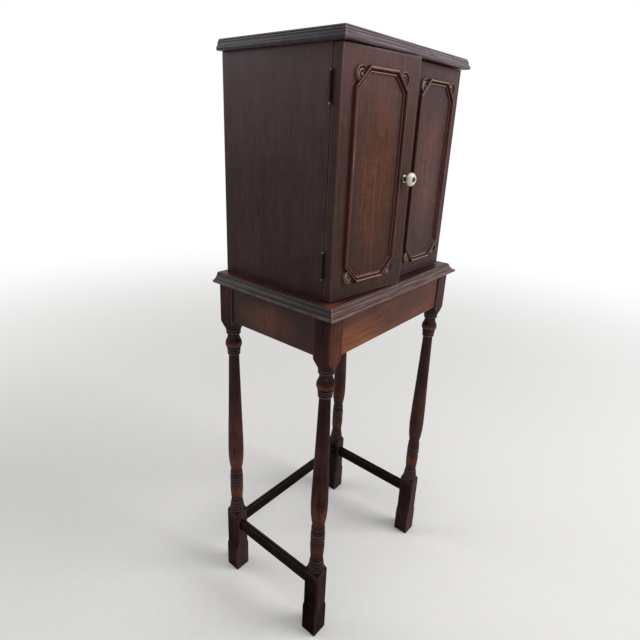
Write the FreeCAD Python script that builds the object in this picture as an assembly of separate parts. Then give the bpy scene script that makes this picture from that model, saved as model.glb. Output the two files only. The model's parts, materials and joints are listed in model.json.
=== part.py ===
import FreeCAD, Part
import math
import os

V = FreeCAD.Vector

# Collectors cabinet on stand: a two-door mahogany cabinet on a stand with turned legs.
# Millimetres. +X is right as seen from the front, the front faces -Y, +Z is up.
# While it is being built, the middle of the stand is at X = Y = 0 and the floor at Z = 0.
# At the end everything moves along Y so that the origin is under the middle of the whole object.

# Stand
stand_width = 444.0
stand_depth = 300.0
stand_height = 801.0
leg_side = 38.0
stand_top_thickness = 20.5
stand_lip_overhang = 14.0
stand_back_overhang = 5.0
stand_arris_height = 2.0
stand_arris_step = 1.2
stand_lip_height = 6.5
stand_hollow_reach_share = 0.42
stand_hollow_rise_share = 0.34
apron_height = 82.0
apron_thickness = 18.0
apron_setback = 3.0
apron_tenon_thickness = 6.0
apron_tenon_length = 14.0
apron_tenon_shoulder = 12.0

# Turned legs
post_drop = 22.5
post_shoulder_rise = 18.5
post_shoulder_bulge_share = 0.05
foot_block_height = 182.0
foot_shoulder_drop = 8.0
foot_chamfer = 5.0
foot_chamfer_end_height = 69.0
foot_chamfer_stop_rise = 7.0

# Stretchers
stretcher_height = 30.0
stretcher_thickness = 16.0
stretcher_plain_share = 0.7
stretcher_bead_share = 0.5
stretcher_floor_gap = 129.0
back_stretcher_lift = 3.0
stretcher_tenon_thickness = 8.0
stretcher_tenon_height = 18.0
stretcher_tenon_length = 11.0

# Glue blocks under the stand top
glue_block_side = 14.0
glue_block_length = 42.0
front_glue_block_spacing = 190.0

# Cabinet carcass, its sides and front set back from the stand's
cabinet_side_setback = 22.0
cabinet_front_setback = 41.0
cabinet_height = 414.0
side_thickness = 16.0
bottom_thickness = 14.0
inner_top_thickness = 14.0
housing_depth = 5.0
back_thickness = 8.0
back_rebate = 8.0
shelf_thickness = 10.0
shelf_front_gap = 6.0
shelf_end_gap = 0.5
cleat_height = 12.0
cleat_width = 9.0
shelf_height_shares = (1 / 3, 2 / 3)

# Cornice
cornice_height = 20.0
cornice_overhang = 13.5
cornice_lip_height = 6.5
cornice_lip_undercut = 2.5
cornice_quirk = 0.9
cornice_slope_height = 6.5
cornice_slope_inset = 2.2
cornice_reed_inset = 1.8

# Doors
door_thickness = 20.0
door_back_gap = 1.0
door_meeting_gap = 1.0
door_foot_gap = 1.5
door_head_gap = 1.5
door_ajar_angle = 6.0

# Octagonal bead moulding on each door
moulding_hinge_margin = 28.0
moulding_meeting_margin = 36.0
moulding_end_margin = 27.0
moulding_cant = 31.5
moulding_width = 11.0
inner_bead_width = 4.0
inner_bead_height = 3.6
moulding_groove_height = 1.6
moulding_quirk_width = 1.2
outer_bead_height = 7.0
outer_bead_wall_share = 0.35

# Carved ornament outside each canted corner
ornament_radius = 13.0
ornament_offset = 3.5
ornament_plate_thickness = 1.0
ornament_rim_width = 3.6
ornament_rim_height = 5.4
ornament_rim_slope_share = 0.3
ornament_bud_radius = 3.4
ornament_bud_height = 4.4
ornament_bud_top_share = 0.3
ornament_bud_swell_share = 0.15
ornament_bud_place_share = 0.12

# Butt hinges
hinge_length = 44.0
hinge_knuckle_radius = 2.6
hinge_knuckle_gap = 0.3
hinge_side_clearance = 0.35
hinge_pin_radius = 1.2
hinge_pin_clearance = 0.05
hinge_ball_radius = 2.4
hinge_ball_neck_share = 0.35
hinge_leaf_thickness = 1.2
hinge_leaf_width = 12.0
hinge_leaf_clearance = 0.2
hinge_end_margin = 62.0

# Knob
knob_diameter = 25.5
knob_length = 12.5
knob_waist_diameter = 12.0
knob_face_diameter = 15.0
knob_neck_diameter = 9.0
knob_neck_length = 7.5
knob_waist_share = 0.1
knob_belly_share = 0.48
knob_belly_swell_share = 0.12
knob_face_swell_share = 0.14
rose_diameter = 15.0
rose_thickness = 2.0
rose_top_share = 0.85
rose_collar_share = 1.4
knob_ring_diameter = 10.0
knob_ring_thickness = 1.4
knob_bolt_diameter = 4.0
knob_bolt_head_diameter = 6.6
knob_bolt_head_height = 1.0
knob_washer_diameter = 10.0
knob_washer_thickness = 1.0
knob_nut_diameter = 8.0
knob_nut_height = 3.2
knob_bolt_tail = 1.5

# Catches
catch_width = 34.0
catch_height = 14.0
catch_depth = 16.0
catch_centre_distance = 34.0
catch_gap = 0.5
strike_width = 26.0
strike_height = 13.0
strike_thickness = 0.7

# Screws
screw_diameter = 3.0
screw_head_diameter = 6.0
screw_head_height = 1.5
screw_length = 24.0
back_screw_edge = 4.0
back_screws_per_side = 3
holding_screw_inset_x = 60.0
holding_screw_inset_y = 40.0

# How many flats go round the axis of each kind of turned piece, and along each curve of a
# turning. They stand in for full rounds, which keeps four long turned legs light.
leg_flat_count = 16
knob_flat_count = 24
rose_flat_count = 20
ornament_flat_count = 16
fitting_flat_count = 12
screw_flat_count = 8
nut_side_count = 6
curve_flat_count = 3

# A square's diagonal as a share of its side
diagonal_share = math.sqrt(2)

# One overrun for every cut
overrun = 2.0

# Worked out from the sizes above
post_x = stand_width / 2 - leg_side / 2
post_y = stand_depth / 2 - leg_side / 2
post_inner_x = stand_width / 2 - leg_side
post_inner_y = stand_depth / 2 - leg_side
apron_top = stand_height - stand_top_thickness
apron_bottom = apron_top - apron_height
post_bottom_height = apron_bottom - post_drop
carcass_back = stand_depth / 2
carcass_front = -stand_depth / 2 + cabinet_front_setback
carcass_side = stand_width / 2 - cabinet_side_setback
carcass_inner = carcass_side - side_thickness
carcass_bottom = stand_height
carcass_top = stand_height + cabinet_height
door_back = carcass_front - door_back_gap
door_front = door_back - door_thickness
door_bottom = carcass_bottom + door_foot_gap
door_top = carcass_top - door_head_gap
door_inner_edge = door_meeting_gap / 2
door_middle_height = (door_bottom + door_top) / 2
hinge_y = (carcass_front + door_back) / 2
hinge_x = carcass_side + hinge_knuckle_radius + hinge_side_clearance
hinge_heights = (door_bottom + hinge_end_margin, door_top - hinge_end_margin)
moulding_left = -carcass_side + moulding_hinge_margin
moulding_right = -moulding_meeting_margin
moulding_bottom = door_bottom + moulding_end_margin
moulding_top = door_top - moulding_end_margin
knob_x = moulding_right / 2
inside_bottom = carcass_bottom + bottom_thickness
inside_top = carcass_top - inner_top_thickness
inside_height = inside_top - inside_bottom
back_front_face = carcass_back - back_thickness

# Turned leg from the foot block up to the post. Each row goes one step up: the height as a
# share of the turned length, the radius there as a share of half the leg's side, and how far
# the middle of the step bulges, as a share of the same. A step without bulge is straight.
turning_shares = (
    (0.000, 0.950, 0.000),
    (0.010, 0.960, 0.000),
    (0.036, 0.830, 0.000),
    (0.054, 0.830, 0.000),
    (0.060, 0.720, 0.000),
    (0.158, 0.790, 0.050),
    (0.162, 0.830, 0.000),
    (0.246, 0.800, 0.060),
    (0.252, 0.700, 0.000),
    (0.325, 0.940, 0.045),
    (0.393, 0.945, 0.000),
    (0.554, 0.825, 0.000),
    (0.877, 0.600, 0.000),
    (0.880, 0.760, 0.000),
    (0.910, 0.830, 0.000),
    (0.922, 0.960, 0.000),
    (0.946, 0.830, 0.050),
    (0.968, 0.685, 0.000),
    (0.976, 0.685, 0.000),
    (0.979, 0.850, 0.000),
    (0.996, 0.870, 0.000),
    (1.000, 0.890, 0.000),
)


def box(x0, x1, y0, y1, z0, z1):
    """A box between two corners."""
    return Part.makeBox(x1 - x0, y1 - y0, z1 - z0, V(x0, y0, z0))


def solid_of(shape):
    """The one clean solid of a shape."""
    return shape.removeSplitter().Solids[0]


def wire_through(steps, place):
    """A closed wire of straight and curved steps.

    The first step is a point, each other step a point or a pair of a middle point
    and an end point of an arc. place turns a pair of numbers into a point in space.
    """
    first = place(*steps[0])
    edges = []
    last = first
    for step in steps[1:]:
        if isinstance(step[0], tuple):
            middle, end = place(*step[0]), place(*step[1])
            edges.append(Part.Arc(last, middle, end).toShape())
        else:
            end = place(*step)
            edges.append(Part.LineSegment(last, end).toShape())
        last = end
    if last.distanceToPoint(first) > 0:
        edges.append(Part.LineSegment(last, first).toShape())
    return Part.Wire(edges)


def prism_along_x(steps, x0, x1):
    """A profile of (y, z) steps drawn out along X."""
    wire = wire_through(steps, lambda y, z: V(x0, y, z))
    return Part.Face(wire).extrude(V(x1 - x0, 0, 0))


def prism_along_y(steps, y0, y1):
    """A profile of (x, z) steps drawn out along Y."""
    wire = wire_through(steps, lambda x, z: V(x, y0, z))
    return Part.Face(wire).extrude(V(0, y1 - y0, 0))


def curved(rows):
    """Outline points through (along, radius, bulge) rows, each bulged step in a few flats."""
    points = []
    last = None
    for along, radius, bulge in rows:
        if last and bulge:
            for index in range(1, curve_flat_count):
                t = index / curve_flat_count
                points.append((
                    last[0] + (along - last[0]) * t,
                    last[1] + (radius - last[1]) * t + 4 * bulge * t * (1 - t),
                ))
        points.append((along, radius))
        last = (along, radius)
    return points


def turned(outline, flats, point, axis):
    """A round piece drawn with flats round its axis, from (distance, radius) points."""
    across = V(1, 0, 0) if abs(axis.x) == 0 else V(0, 0, 1)
    second = axis.cross(across)
    turns = [2 * math.pi * index / flats for index in range(flats)]
    rings = [
        [point + axis * along + (across * math.cos(turn) + second * math.sin(turn)) * radius
         for turn in turns]
        for along, radius in outline
    ]
    faces = []
    for (low, high), (below, above) in zip(zip(outline, outline[1:]), zip(rings, rings[1:])):
        for index in range(flats):
            after = (index + 1) % flats
            corners = [below[index]] if low[1] == 0 else [below[index], below[after]]
            corners += [above[after]] if high[1] == 0 else [above[after], above[index]]
            faces.append(Part.Face(Part.makePolygon(corners + corners[:1])))
    for ring, end in ((rings[0][::-1], outline[0]), (rings[-1], outline[-1])):
        if end[1] > 0:
            faces.append(Part.Face(Part.makePolygon(ring + ring[:1])))
    whole = Part.Solid(Part.makeShell(faces))
    return whole.reversed() if whole.Volume < 0 else whole


def pierced(shape, bore):
    """A solid with a bore cut through it."""
    return solid_of(shape.cut(bore))


def screw_shape(point, direction, extra=0.0):
    """A countersunk screw, or with extra the hole that it leaves, from its face inwards."""
    head, shank = screw_head_diameter / 2, screw_diameter / 2
    outline = [(-extra, head)] if extra else []
    outline += [(0.0, head), (screw_head_height, shank), (screw_length, shank)]
    return turned(outline, screw_flat_count, point, direction)


def mirrored(shape):
    """The same piece on the other side of the cabinet."""
    return shape.mirror(V(0, 0, 0), V(1, 0, 0))


def swing_left(shape):
    """The left door's pieces, turned from shut to where the door stands ajar."""
    turned_shape = shape.copy()
    turned_shape.rotate(V(-hinge_x, hinge_y, 0), V(0, 0, 1), -door_ajar_angle)
    return turned_shape


def moulded_board(side_steps, front_steps, half_width, front, back):
    """A board whose edge moulding runs round the front and both sides, mitred at the corners.

    Both profiles are lists of (overhang, height) steps of the same edge.
    """
    right = [shift_step(step, lambda o, z: (half_width + o, z)) for step in side_steps]
    left = [shift_step(step, lambda o, z: (-half_width - o, z)) for step in side_steps]
    across = prism_along_y(right + back_to_front(left), front - 4 * half_width, back)
    profile = [shift_step(step, lambda o, z: (front - o, z)) for step in front_steps]
    top, bottom = end_of(profile[-1]), end_of(profile[0])
    profile += [(back, top[1]), (back, bottom[1])]
    along = prism_along_x(profile, -2 * half_width, 2 * half_width)
    return solid_of(across.common(along))


def shift_step(step, move):
    """A profile step with every point moved."""
    if isinstance(step[0], tuple):
        return tuple(move(*point) for point in step)
    return move(*step)


def end_of(step):
    """The point where a profile step ends."""
    return step[-1] if isinstance(step[0], tuple) else step


def back_to_front(steps):
    """The same profile walked from its end to its start."""
    points = [end_of(step) for step in steps]
    walked = [points[-1]]
    for index in range(len(steps) - 1, 0, -1):
        step = steps[index]
        if isinstance(step[0], tuple):
            walked.append((step[0], points[index - 1]))
        else:
            walked.append(points[index - 1])
    return walked


# Stand

def stand_top():
    """Top of the stand: arris, wide hollow and a bead at the lip, on the front and sides."""
    top, bottom = stand_height, stand_height - stand_top_thickness
    bead_top = bottom + stand_lip_height
    bead_in = stand_lip_overhang - stand_lip_height / 2
    hollow_top = top - stand_arris_height
    hollow_middle = (
        stand_arris_step + (bead_in - stand_arris_step) * stand_hollow_reach_share,
        bead_top + (hollow_top - bead_top) * stand_hollow_rise_share,
    )
    edge = [
        (bead_in, bottom),
        ((stand_lip_overhang, bottom + stand_lip_height / 2), (bead_in, bead_top)),
        (hollow_middle, (stand_arris_step, hollow_top)),
        (0.0, hollow_top),
        (0.0, top),
    ]
    board = moulded_board(
        edge, edge, stand_width / 2, -stand_depth / 2, stand_depth / 2 + stand_back_overhang
    )
    for point in holding_screw_points():
        board = board.cut(holding_screw(point, overrun))
    return solid_of(board)


def holding_screw_points():
    """Where the screws come up through the stand top into the cabinet."""
    x = carcass_side - holding_screw_inset_x
    y_front = carcass_front + holding_screw_inset_y
    y_back = carcass_back - holding_screw_inset_y
    z = stand_height - stand_top_thickness
    return [V(sx * x, y, z) for sx in (-1, 1) for y in (y_front, y_back)]


def holding_screw(point, extra=0.0):
    """One of those screws, or its hole."""
    return screw_shape(point, V(0, 0, 1), extra)


def apron_tenon_heights():
    """Bottom and top of an apron's tenons."""
    return apron_bottom + apron_tenon_shoulder, apron_top - apron_tenon_shoulder


def apron_along_x(front):
    """Front or back apron with a tenon at each end."""
    y_face = (stand_depth / 2 - apron_setback) * (-1 if front else 1)
    y_in = y_face + (apron_thickness if front else -apron_thickness)
    y0, y1 = min(y_face, y_in), max(y_face, y_in)
    board = box(-post_inner_x, post_inner_x, y0, y1, apron_bottom, apron_top)
    middle = (y0 + y1) / 2
    reach = post_inner_x + apron_tenon_length
    z0, z1 = apron_tenon_heights()
    half = apron_tenon_thickness / 2
    return solid_of(board.fuse(box(-reach, reach, middle - half, middle + half, z0, z1)))


def apron_along_y(side):
    """Left (-1) or right (+1) apron with a tenon at each end."""
    x_face = (stand_width / 2 - apron_setback) * side
    x_in = x_face - apron_thickness * side
    x0, x1 = min(x_face, x_in), max(x_face, x_in)
    board = box(x0, x1, -post_inner_y, post_inner_y, apron_bottom, apron_top)
    middle = (x0 + x1) / 2
    reach = post_inner_y + apron_tenon_length
    z0, z1 = apron_tenon_heights()
    half = apron_tenon_thickness / 2
    return solid_of(board.fuse(box(middle - half, middle + half, -reach, reach, z0, z1)))


def turning_outline():
    """The leg's turned outline as (height, radius) points."""
    length = post_bottom_height - foot_block_height
    half = leg_side / 2
    return curved([
        (foot_block_height + along * length, radius * half, bulge * half)
        for along, radius, bulge in turning_shares
    ])


def foot_block():
    """Square foot: turned shoulder on top, chamfered arrises that stop above the floor."""
    half = leg_side / 2
    corner = half * diagonal_share
    square = box(-half, half, -half, half, 0.0, foot_block_height)
    shoulder = turned(
        [
            (0.0, 2 * corner),
            (foot_block_height - foot_shoulder_drop, 2 * corner),
            (foot_block_height - foot_shoulder_drop, corner),
            (foot_block_height, half * turning_shares[0][1]),
        ],
        leg_flat_count, V(0, 0, 0), V(0, 0, 1),
    )
    block = square.common(shoulder)
    for turn in range(4):
        chamfer = foot_chamfer_cutter()
        chamfer.rotate(V(0, 0, 0), V(0, 0, 1), 90 * turn)
        block = block.cut(chamfer)
    return block


def foot_chamfer_cutter():
    """What is taken off one arris of the foot: a chamfer that runs out above the floor."""
    half = leg_side / 2
    stop_top = foot_chamfer_end_height + foot_chamfer_stop_rise

    def triangle(height, reach):
        arris = V(half, half, height)
        return Part.makePolygon([
            arris + V(overrun, overrun, 0),
            arris + V(-reach - overrun, overrun, 0),
            arris + V(overrun, -reach - overrun, 0),
            arris + V(overrun, overrun, 0),
        ])

    upper = Part.makeLoft(
        [triangle(stop_top, foot_chamfer), triangle(foot_block_height + overrun, foot_chamfer)],
        True, True)
    tip = Part.makeLoft(
        [triangle(foot_chamfer_end_height, 0.0), triangle(stop_top, foot_chamfer)], True, True)
    return upper.fuse(tip)


def post():
    """Square top of a leg, its lower end turned to a shoulder."""
    half = leg_side / 2
    corner = half * diagonal_share
    square = box(-half, half, -half, half, post_bottom_height, apron_top)
    shoulder_top = post_bottom_height + post_shoulder_rise
    outline = curved([
        (post_bottom_height, half * turning_shares[-1][1], 0.0),
        (shoulder_top, corner, half * post_shoulder_bulge_share),
    ])
    outline += [(shoulder_top, 2 * corner), (apron_top, 2 * corner)]
    return square.common(turned(outline, leg_flat_count, V(0, 0, 0), V(0, 0, 1)))


def leg(side, end):
    """One leg in its corner: side is -1 left or +1 right, end is -1 front or +1 back."""
    shaft = turned(turning_outline(), leg_flat_count, V(0, 0, 0), V(0, 0, 1))
    whole = foot_block().fuse([shaft, post()])
    whole.translate(V(side * post_x, end * post_y, 0))
    rails = [apron_along_x(end < 0), apron_along_y(side), stretcher_side(side)]
    if end > 0:
        rails.append(stretcher_back())
    for rail in rails:
        whole = whole.cut(rail)
    return solid_of(whole)


def stretcher_profile(middle, bottom):
    """Section of a stretcher: plain faces, a rounded step and a bead along the top."""
    half = stretcher_thickness / 2
    bead = half * stretcher_bead_share
    step_height = bottom + stretcher_height * stretcher_plain_share
    quirk_height = (step_height + bottom + stretcher_height) / 2
    rounding = (quirk_height - step_height) / 3
    steps = curved([
        (half, step_height, 0.0),
        (bead, quirk_height, rounding),
        (-bead, quirk_height, bottom + stretcher_height - quirk_height),
        (-half, step_height, rounding),
    ])
    outline = [(-half, bottom), (half, bottom)] + steps
    return [(middle + across, height) for across, height in outline]


def stretcher_tenon_heights(bottom):
    """Bottom and top of a stretcher's tenons."""
    z0 = bottom + (stretcher_height * stretcher_plain_share - stretcher_tenon_height) / 2
    return z0, z0 + stretcher_tenon_height


def stretcher_side(side):
    """Left (-1) or right (+1) stretcher between the foot blocks."""
    middle = side * post_x
    bottom = stretcher_floor_gap
    bar = prism_along_y(stretcher_profile(middle, bottom), -post_inner_y, post_inner_y)
    reach = post_inner_y + stretcher_tenon_length
    z0, z1 = stretcher_tenon_heights(bottom)
    half = stretcher_tenon_thickness / 2
    return solid_of(bar.fuse(box(middle - half, middle + half, -reach, reach, z0, z1)))


def stretcher_back():
    """Back stretcher between the two back foot blocks."""
    bottom = stretcher_floor_gap + back_stretcher_lift
    bar = prism_along_x(stretcher_profile(post_y, bottom), -post_inner_x, post_inner_x)
    reach = post_inner_x + stretcher_tenon_length
    z0, z1 = stretcher_tenon_heights(bottom)
    half = stretcher_tenon_thickness / 2
    return solid_of(bar.fuse(box(-reach, reach, post_y - half, post_y + half, z0, z1)))


def glue_blocks():
    """Small blocks glued in the corner between the aprons and the top."""
    side = glue_block_side
    z0 = apron_top - side
    y_in = stand_depth / 2 - apron_setback - apron_thickness
    x_in = stand_width / 2 - apron_setback - apron_thickness
    half = glue_block_length / 2
    blocks = []
    for end in (-1, 1):
        for x in (-front_glue_block_spacing / 2, front_glue_block_spacing / 2):
            y0, y1 = sorted((end * y_in, end * (y_in - side)))
            blocks.append(three_sided_block((x - half, x + half), (y0, y1), z0, end, "x"))
    for sign in (-1, 1):
        x0, x1 = sorted((sign * x_in, sign * (x_in - side)))
        blocks.append(three_sided_block((x0, x1), (-half, half), z0, sign, "y"))
    return Part.makeCompound(blocks)


def three_sided_block(x_range, y_range, z0, sign, run):
    """A triangular block: square to the apron and the top, its free face sloping."""
    z1 = apron_top
    if run == "x":
        outer, inner = (y_range[0], y_range[1]) if sign < 0 else (y_range[1], y_range[0])
        return prism_along_x([(outer, z0), (outer, z1), (inner, z1)], *x_range)
    outer, inner = (x_range[0], x_range[1]) if sign < 0 else (x_range[1], x_range[0])
    return prism_along_y([(outer, z0), (outer, z1), (inner, z1)], *y_range)


def holding_screws():
    """The screws that hold the cabinet down on the stand."""
    return Part.makeCompound([holding_screw(point) for point in holding_screw_points()])


# Carcass

def side_panel():
    """Left side: rebated for the back, housed for bottom and top, let in for the hinges."""
    panel = box(-carcass_side, -carcass_inner, carcass_front, carcass_back,
                carcass_bottom, carcass_top)
    panel = panel.cut(box(-carcass_side + side_thickness - back_rebate, -carcass_inner + overrun,
                          back_front_face, carcass_back + overrun,
                          carcass_bottom - overrun, carcass_top + overrun))
    for board in (cabinet_bottom_blank(), inner_top_blank()):
        panel = panel.cut(board)
    for height in hinge_heights:
        panel = panel.cut(leaf_plate(height, 1))
    for hole in back_screw_shapes(overrun):
        panel = panel.cut(hole)
    return solid_of(panel)


def cabinet_bottom_blank():
    """Bottom board between the sides, its ends housed in them."""
    reach = carcass_inner + housing_depth
    return box(-reach, reach, carcass_front, back_front_face, carcass_bottom, inside_bottom)


def cabinet_bottom():
    """Bottom board with the holes of the holding screws."""
    board = cabinet_bottom_blank()
    for point in holding_screw_points():
        board = board.cut(holding_screw(point))
    return solid_of(board)


def inner_top_blank():
    """Inner top board between the sides."""
    reach = carcass_inner + housing_depth
    return box(-reach, reach, carcass_front, back_front_face, inside_top, carcass_top)


def inner_top():
    """Inner top board with the holes of the cornice screws."""
    board = inner_top_blank()
    for point in cornice_screw_points():
        board = board.cut(cornice_screw(point, overrun))
    return solid_of(board)


def cornice_screw_points():
    """Where the screws go up through the inner top into the cornice."""
    x = carcass_side - holding_screw_inset_x
    y_front = carcass_front + holding_screw_inset_y
    y_back = carcass_back - holding_screw_inset_y
    return [V(sx * x, y, inside_top) for sx in (-1, 1) for y in (y_front, y_back)]


def cornice_screw(point, extra=0.0):
    """One of those screws, or its hole."""
    return screw_shape(point, V(0, 0, 1), extra)


def cornice_screws():
    """The screws that hold the cornice."""
    return Part.makeCompound([cornice_screw(point) for point in cornice_screw_points()])


def cornice():
    """Top board: a bead at the lip, a slope and two reeds above, mitred round front and sides."""
    bottom, top = carcass_top, carcass_top + cornice_height
    lip_top = bottom + cornice_lip_height
    slope_top = lip_top + cornice_slope_height
    middle = (slope_top + top) / 2
    lip_end = cornice_overhang - cornice_quirk
    slope_foot = lip_end - cornice_quirk
    reach = slope_foot - cornice_slope_inset
    edge = [
        (cornice_overhang - cornice_lip_undercut, bottom),
        ((cornice_overhang, (bottom + lip_top) / 2), (lip_end, lip_top)),
        (slope_foot, lip_top),
        (reach, slope_top),
    ]
    for low, high in ((slope_top, middle), (middle, top)):
        edge.append(((reach, (low + high) / 2), (reach - cornice_reed_inset, high)))
        reach -= cornice_reed_inset
    board = moulded_board(edge, edge, carcass_side, door_front, carcass_back)
    for point in cornice_screw_points():
        board = board.cut(cornice_screw(point))
    return solid_of(board)


def back_panel():
    """Thin back board in the rebates of the sides."""
    half = carcass_side - back_rebate
    board = box(-half, half, back_front_face, carcass_back, carcass_bottom, carcass_top)
    for hole in back_screw_shapes(overrun) + [mirrored(s) for s in back_screw_shapes(overrun)]:
        board = board.cut(hole)
    return solid_of(board)


def back_screw_shapes(extra=0.0):
    """Screws down the left edge of the back, or their holes."""
    x = -carcass_side + back_rebate + back_screw_edge
    gap = cabinet_height / back_screws_per_side
    heights = [carcass_bottom + gap * (n + 0.5) for n in range(back_screws_per_side)]
    return [screw_shape(V(x, carcass_back, z), V(0, -1, 0), extra) for z in heights]


def back_screws():
    """All the screws of the back."""
    shapes = back_screw_shapes()
    return Part.makeCompound(shapes + [mirrored(shape) for shape in shapes])


def shelf_top_height(share):
    """Height of the top of the shelf at a share of the inside height."""
    return inside_bottom + share * inside_height + shelf_thickness / 2


def shelf(share):
    """A loose shelf between the sides."""
    half = carcass_inner - shelf_end_gap
    top = shelf_top_height(share)
    return box(-half, half, carcass_front + shelf_front_gap, back_front_face,
               top - shelf_thickness, top)


def shelf_cleats():
    """Four cleats on the sides that carry the shelves."""
    cleats = []
    for share in shelf_height_shares:
        top = shelf_top_height(share) - shelf_thickness
        x0, x1 = -carcass_inner, -carcass_inner + cleat_width
        y0, y1 = carcass_front + 2 * shelf_front_gap, back_front_face
        slope = cleat_height / 2
        left = prism_along_y(
            [(x0, top), (x1, top), (x1, top - slope), (x0, top - cleat_height)], y0, y1)
        cleats += [left, mirrored(left)]
    return Part.makeCompound(cleats)


def catch_blocks():
    """A catch under the inner top behind the meeting edge of each door."""
    y0 = carcass_front - door_back_gap + strike_thickness + catch_gap
    blocks = []
    for sign in (-1, 1):
        middle = sign * catch_centre_distance
        blocks.append(box(middle - catch_width / 2, middle + catch_width / 2,
                          y0, y0 + catch_depth, inside_top - catch_height, inside_top))
    return Part.makeCompound(blocks)


def strike():
    """The strike plate on the back of the left door."""
    z_middle = inside_top - catch_height / 2
    x_middle = -catch_centre_distance
    return box(x_middle - strike_width / 2, x_middle + strike_width / 2,
               door_back, door_back + strike_thickness,
               z_middle - strike_height / 2, z_middle + strike_height / 2)


# Hinges

def leaf_span(leaf_side):
    """From and to in Y of a leaf: leaf_side is +1 on the carcass, -1 on the door."""
    near = hinge_leaf_clearance / 2
    far = near + hinge_leaf_thickness
    return sorted((hinge_y + leaf_side * near, hinge_y + leaf_side * far))


def leaf_plate(height, leaf_side):
    """Plate of the left hinge at a height."""
    y0, y1 = leaf_span(leaf_side)
    return box(-carcass_side, -carcass_side + hinge_leaf_width, y0, y1,
               height - hinge_length / 2, height + hinge_length / 2)


def hinge_bar(radius, low, high):
    """A bar on the left hinge axis between two heights, with flats that touch a radius."""
    corner = radius / math.cos(math.pi / fitting_flat_count)
    return turned([(low, corner), (high, corner)], fitting_flat_count,
                  V(-hinge_x, hinge_y, 0), V(0, 0, 1))


def knuckle(height, leaf_side, low_share, high_share, bore):
    """A length of the barrel with the tab that joins it to its leaf."""
    low = height - hinge_length / 2 + low_share * hinge_length
    high = height - hinge_length / 2 + high_share * hinge_length
    low += hinge_knuckle_gap / 2 if low_share > 0 else 0.0
    high -= hinge_knuckle_gap / 2 if high_share < 1 else 0.0
    y0, y1 = leaf_span(leaf_side)
    tab = box(-hinge_x, -carcass_side, y0, y1, low, high)
    barrel = hinge_bar(hinge_knuckle_radius, low, high).fuse(tab)
    return barrel.cut(hinge_bar(bore, low - overrun, high + overrun))


def hinge_leaf(height, leaf_side):
    """A leaf with its knuckles: the carcass leaf has the outer two, the door leaf the middle."""
    if leaf_side > 0:
        knuckles = [knuckle(height, 1, 0, 1 / 3, hinge_pin_radius),
                    knuckle(height, 1, 2 / 3, 1, hinge_pin_radius)]
    else:
        knuckles = [knuckle(height, -1, 1 / 3, 2 / 3, hinge_pin_radius + hinge_pin_clearance)]
    return solid_of(leaf_plate(height, leaf_side).fuse(knuckles))


def hinge_tip(end, direction):
    """Ball tip of a hinge pin, from the end of the barrel outwards."""
    ball = hinge_ball_radius
    outline = curved([
        (0.0, hinge_pin_radius, 0.0),
        (ball / 2, ball, 0.0),
        (ball * 2, ball * hinge_ball_neck_share, ball / 3),
    ])
    return turned(outline, screw_flat_count, V(-hinge_x, hinge_y, end), V(0, 0, direction))


def hinge_pin(height):
    """Pin with a ball tip at each end."""
    low, high = height - hinge_length / 2, height + hinge_length / 2
    rod = Part.makeCylinder(hinge_pin_radius, hinge_length, V(-hinge_x, hinge_y, low))
    return solid_of(rod.fuse([hinge_tip(low, -1), hinge_tip(high, 1)]))


# Doors

def door_board():
    """Left door, shut: board let in for its hinge leaves, bored for screws."""
    board = box(-carcass_side, -door_inner_edge, door_front, door_back, door_bottom, door_top)
    for height in hinge_heights:
        board = board.cut(leaf_plate(height, -1))
    return solid_of(board)


def octagon(inset):
    """Corners of the moulding's octagon on the left door, anticlockwise from the lower left."""
    left, right = moulding_left + inset, moulding_right - inset
    bottom, top = moulding_bottom + inset, moulding_top - inset
    cant = moulding_cant - inset * (2 - diagonal_share)
    return [
        (left + cant, bottom), (right - cant, bottom),
        (right, bottom + cant), (right, top - cant),
        (right - cant, top), (left + cant, top),
        (left, top - cant), (left, bottom + cant),
    ]


def moulding_outline():
    """Section of the moulding as (distance in from the outer edge, height) points."""
    outer_width = moulding_width - inner_bead_width - moulding_quirk_width
    quirk_in = moulding_width - inner_bead_width
    wall = outer_bead_height * outer_bead_wall_share
    return [(0.0, 0.0)] + curved([
        (0.0, wall, 0.0),
        (outer_width, wall, outer_bead_height - wall),
        (outer_width, moulding_groove_height, 0.0),
        (quirk_in, moulding_groove_height, 0.0),
        (moulding_width, 0.0, inner_bead_height - moulding_groove_height / 2),
    ])


def door_moulding():
    """The eight mitred lengths of bead moulding on the left door, shut."""
    outer, inner = octagon(0.0), octagon(moulding_width)
    lengths = []
    count = len(outer)
    for index in range(count):
        a, b = outer[index], outer[(index + 1) % count]
        c, d = inner[(index + 1) % count], inner[index]
        run = V(b[0] - a[0], 0, b[1] - a[1])
        length = run.Length
        run.normalize()
        inward = V(-run.z, 0, run.x)
        start = V(a[0], door_front, a[1]) - run * moulding_width
        wire = wire_through(
            moulding_outline(), lambda o, h: start + inward * o + V(0, -h, 0))
        bar = Part.Face(wire).extrude(run * (length + 2 * moulding_width))
        corners = [V(x, door_front + overrun, z) for x, z in (a, b, c, d, a)]
        mitre = Part.Face(Part.makePolygon(corners)).extrude(
            V(0, -overrun - outer_bead_height - overrun, 0))
        lengths.append(solid_of(bar.common(mitre)))
    return Part.makeCompound(lengths)


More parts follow.
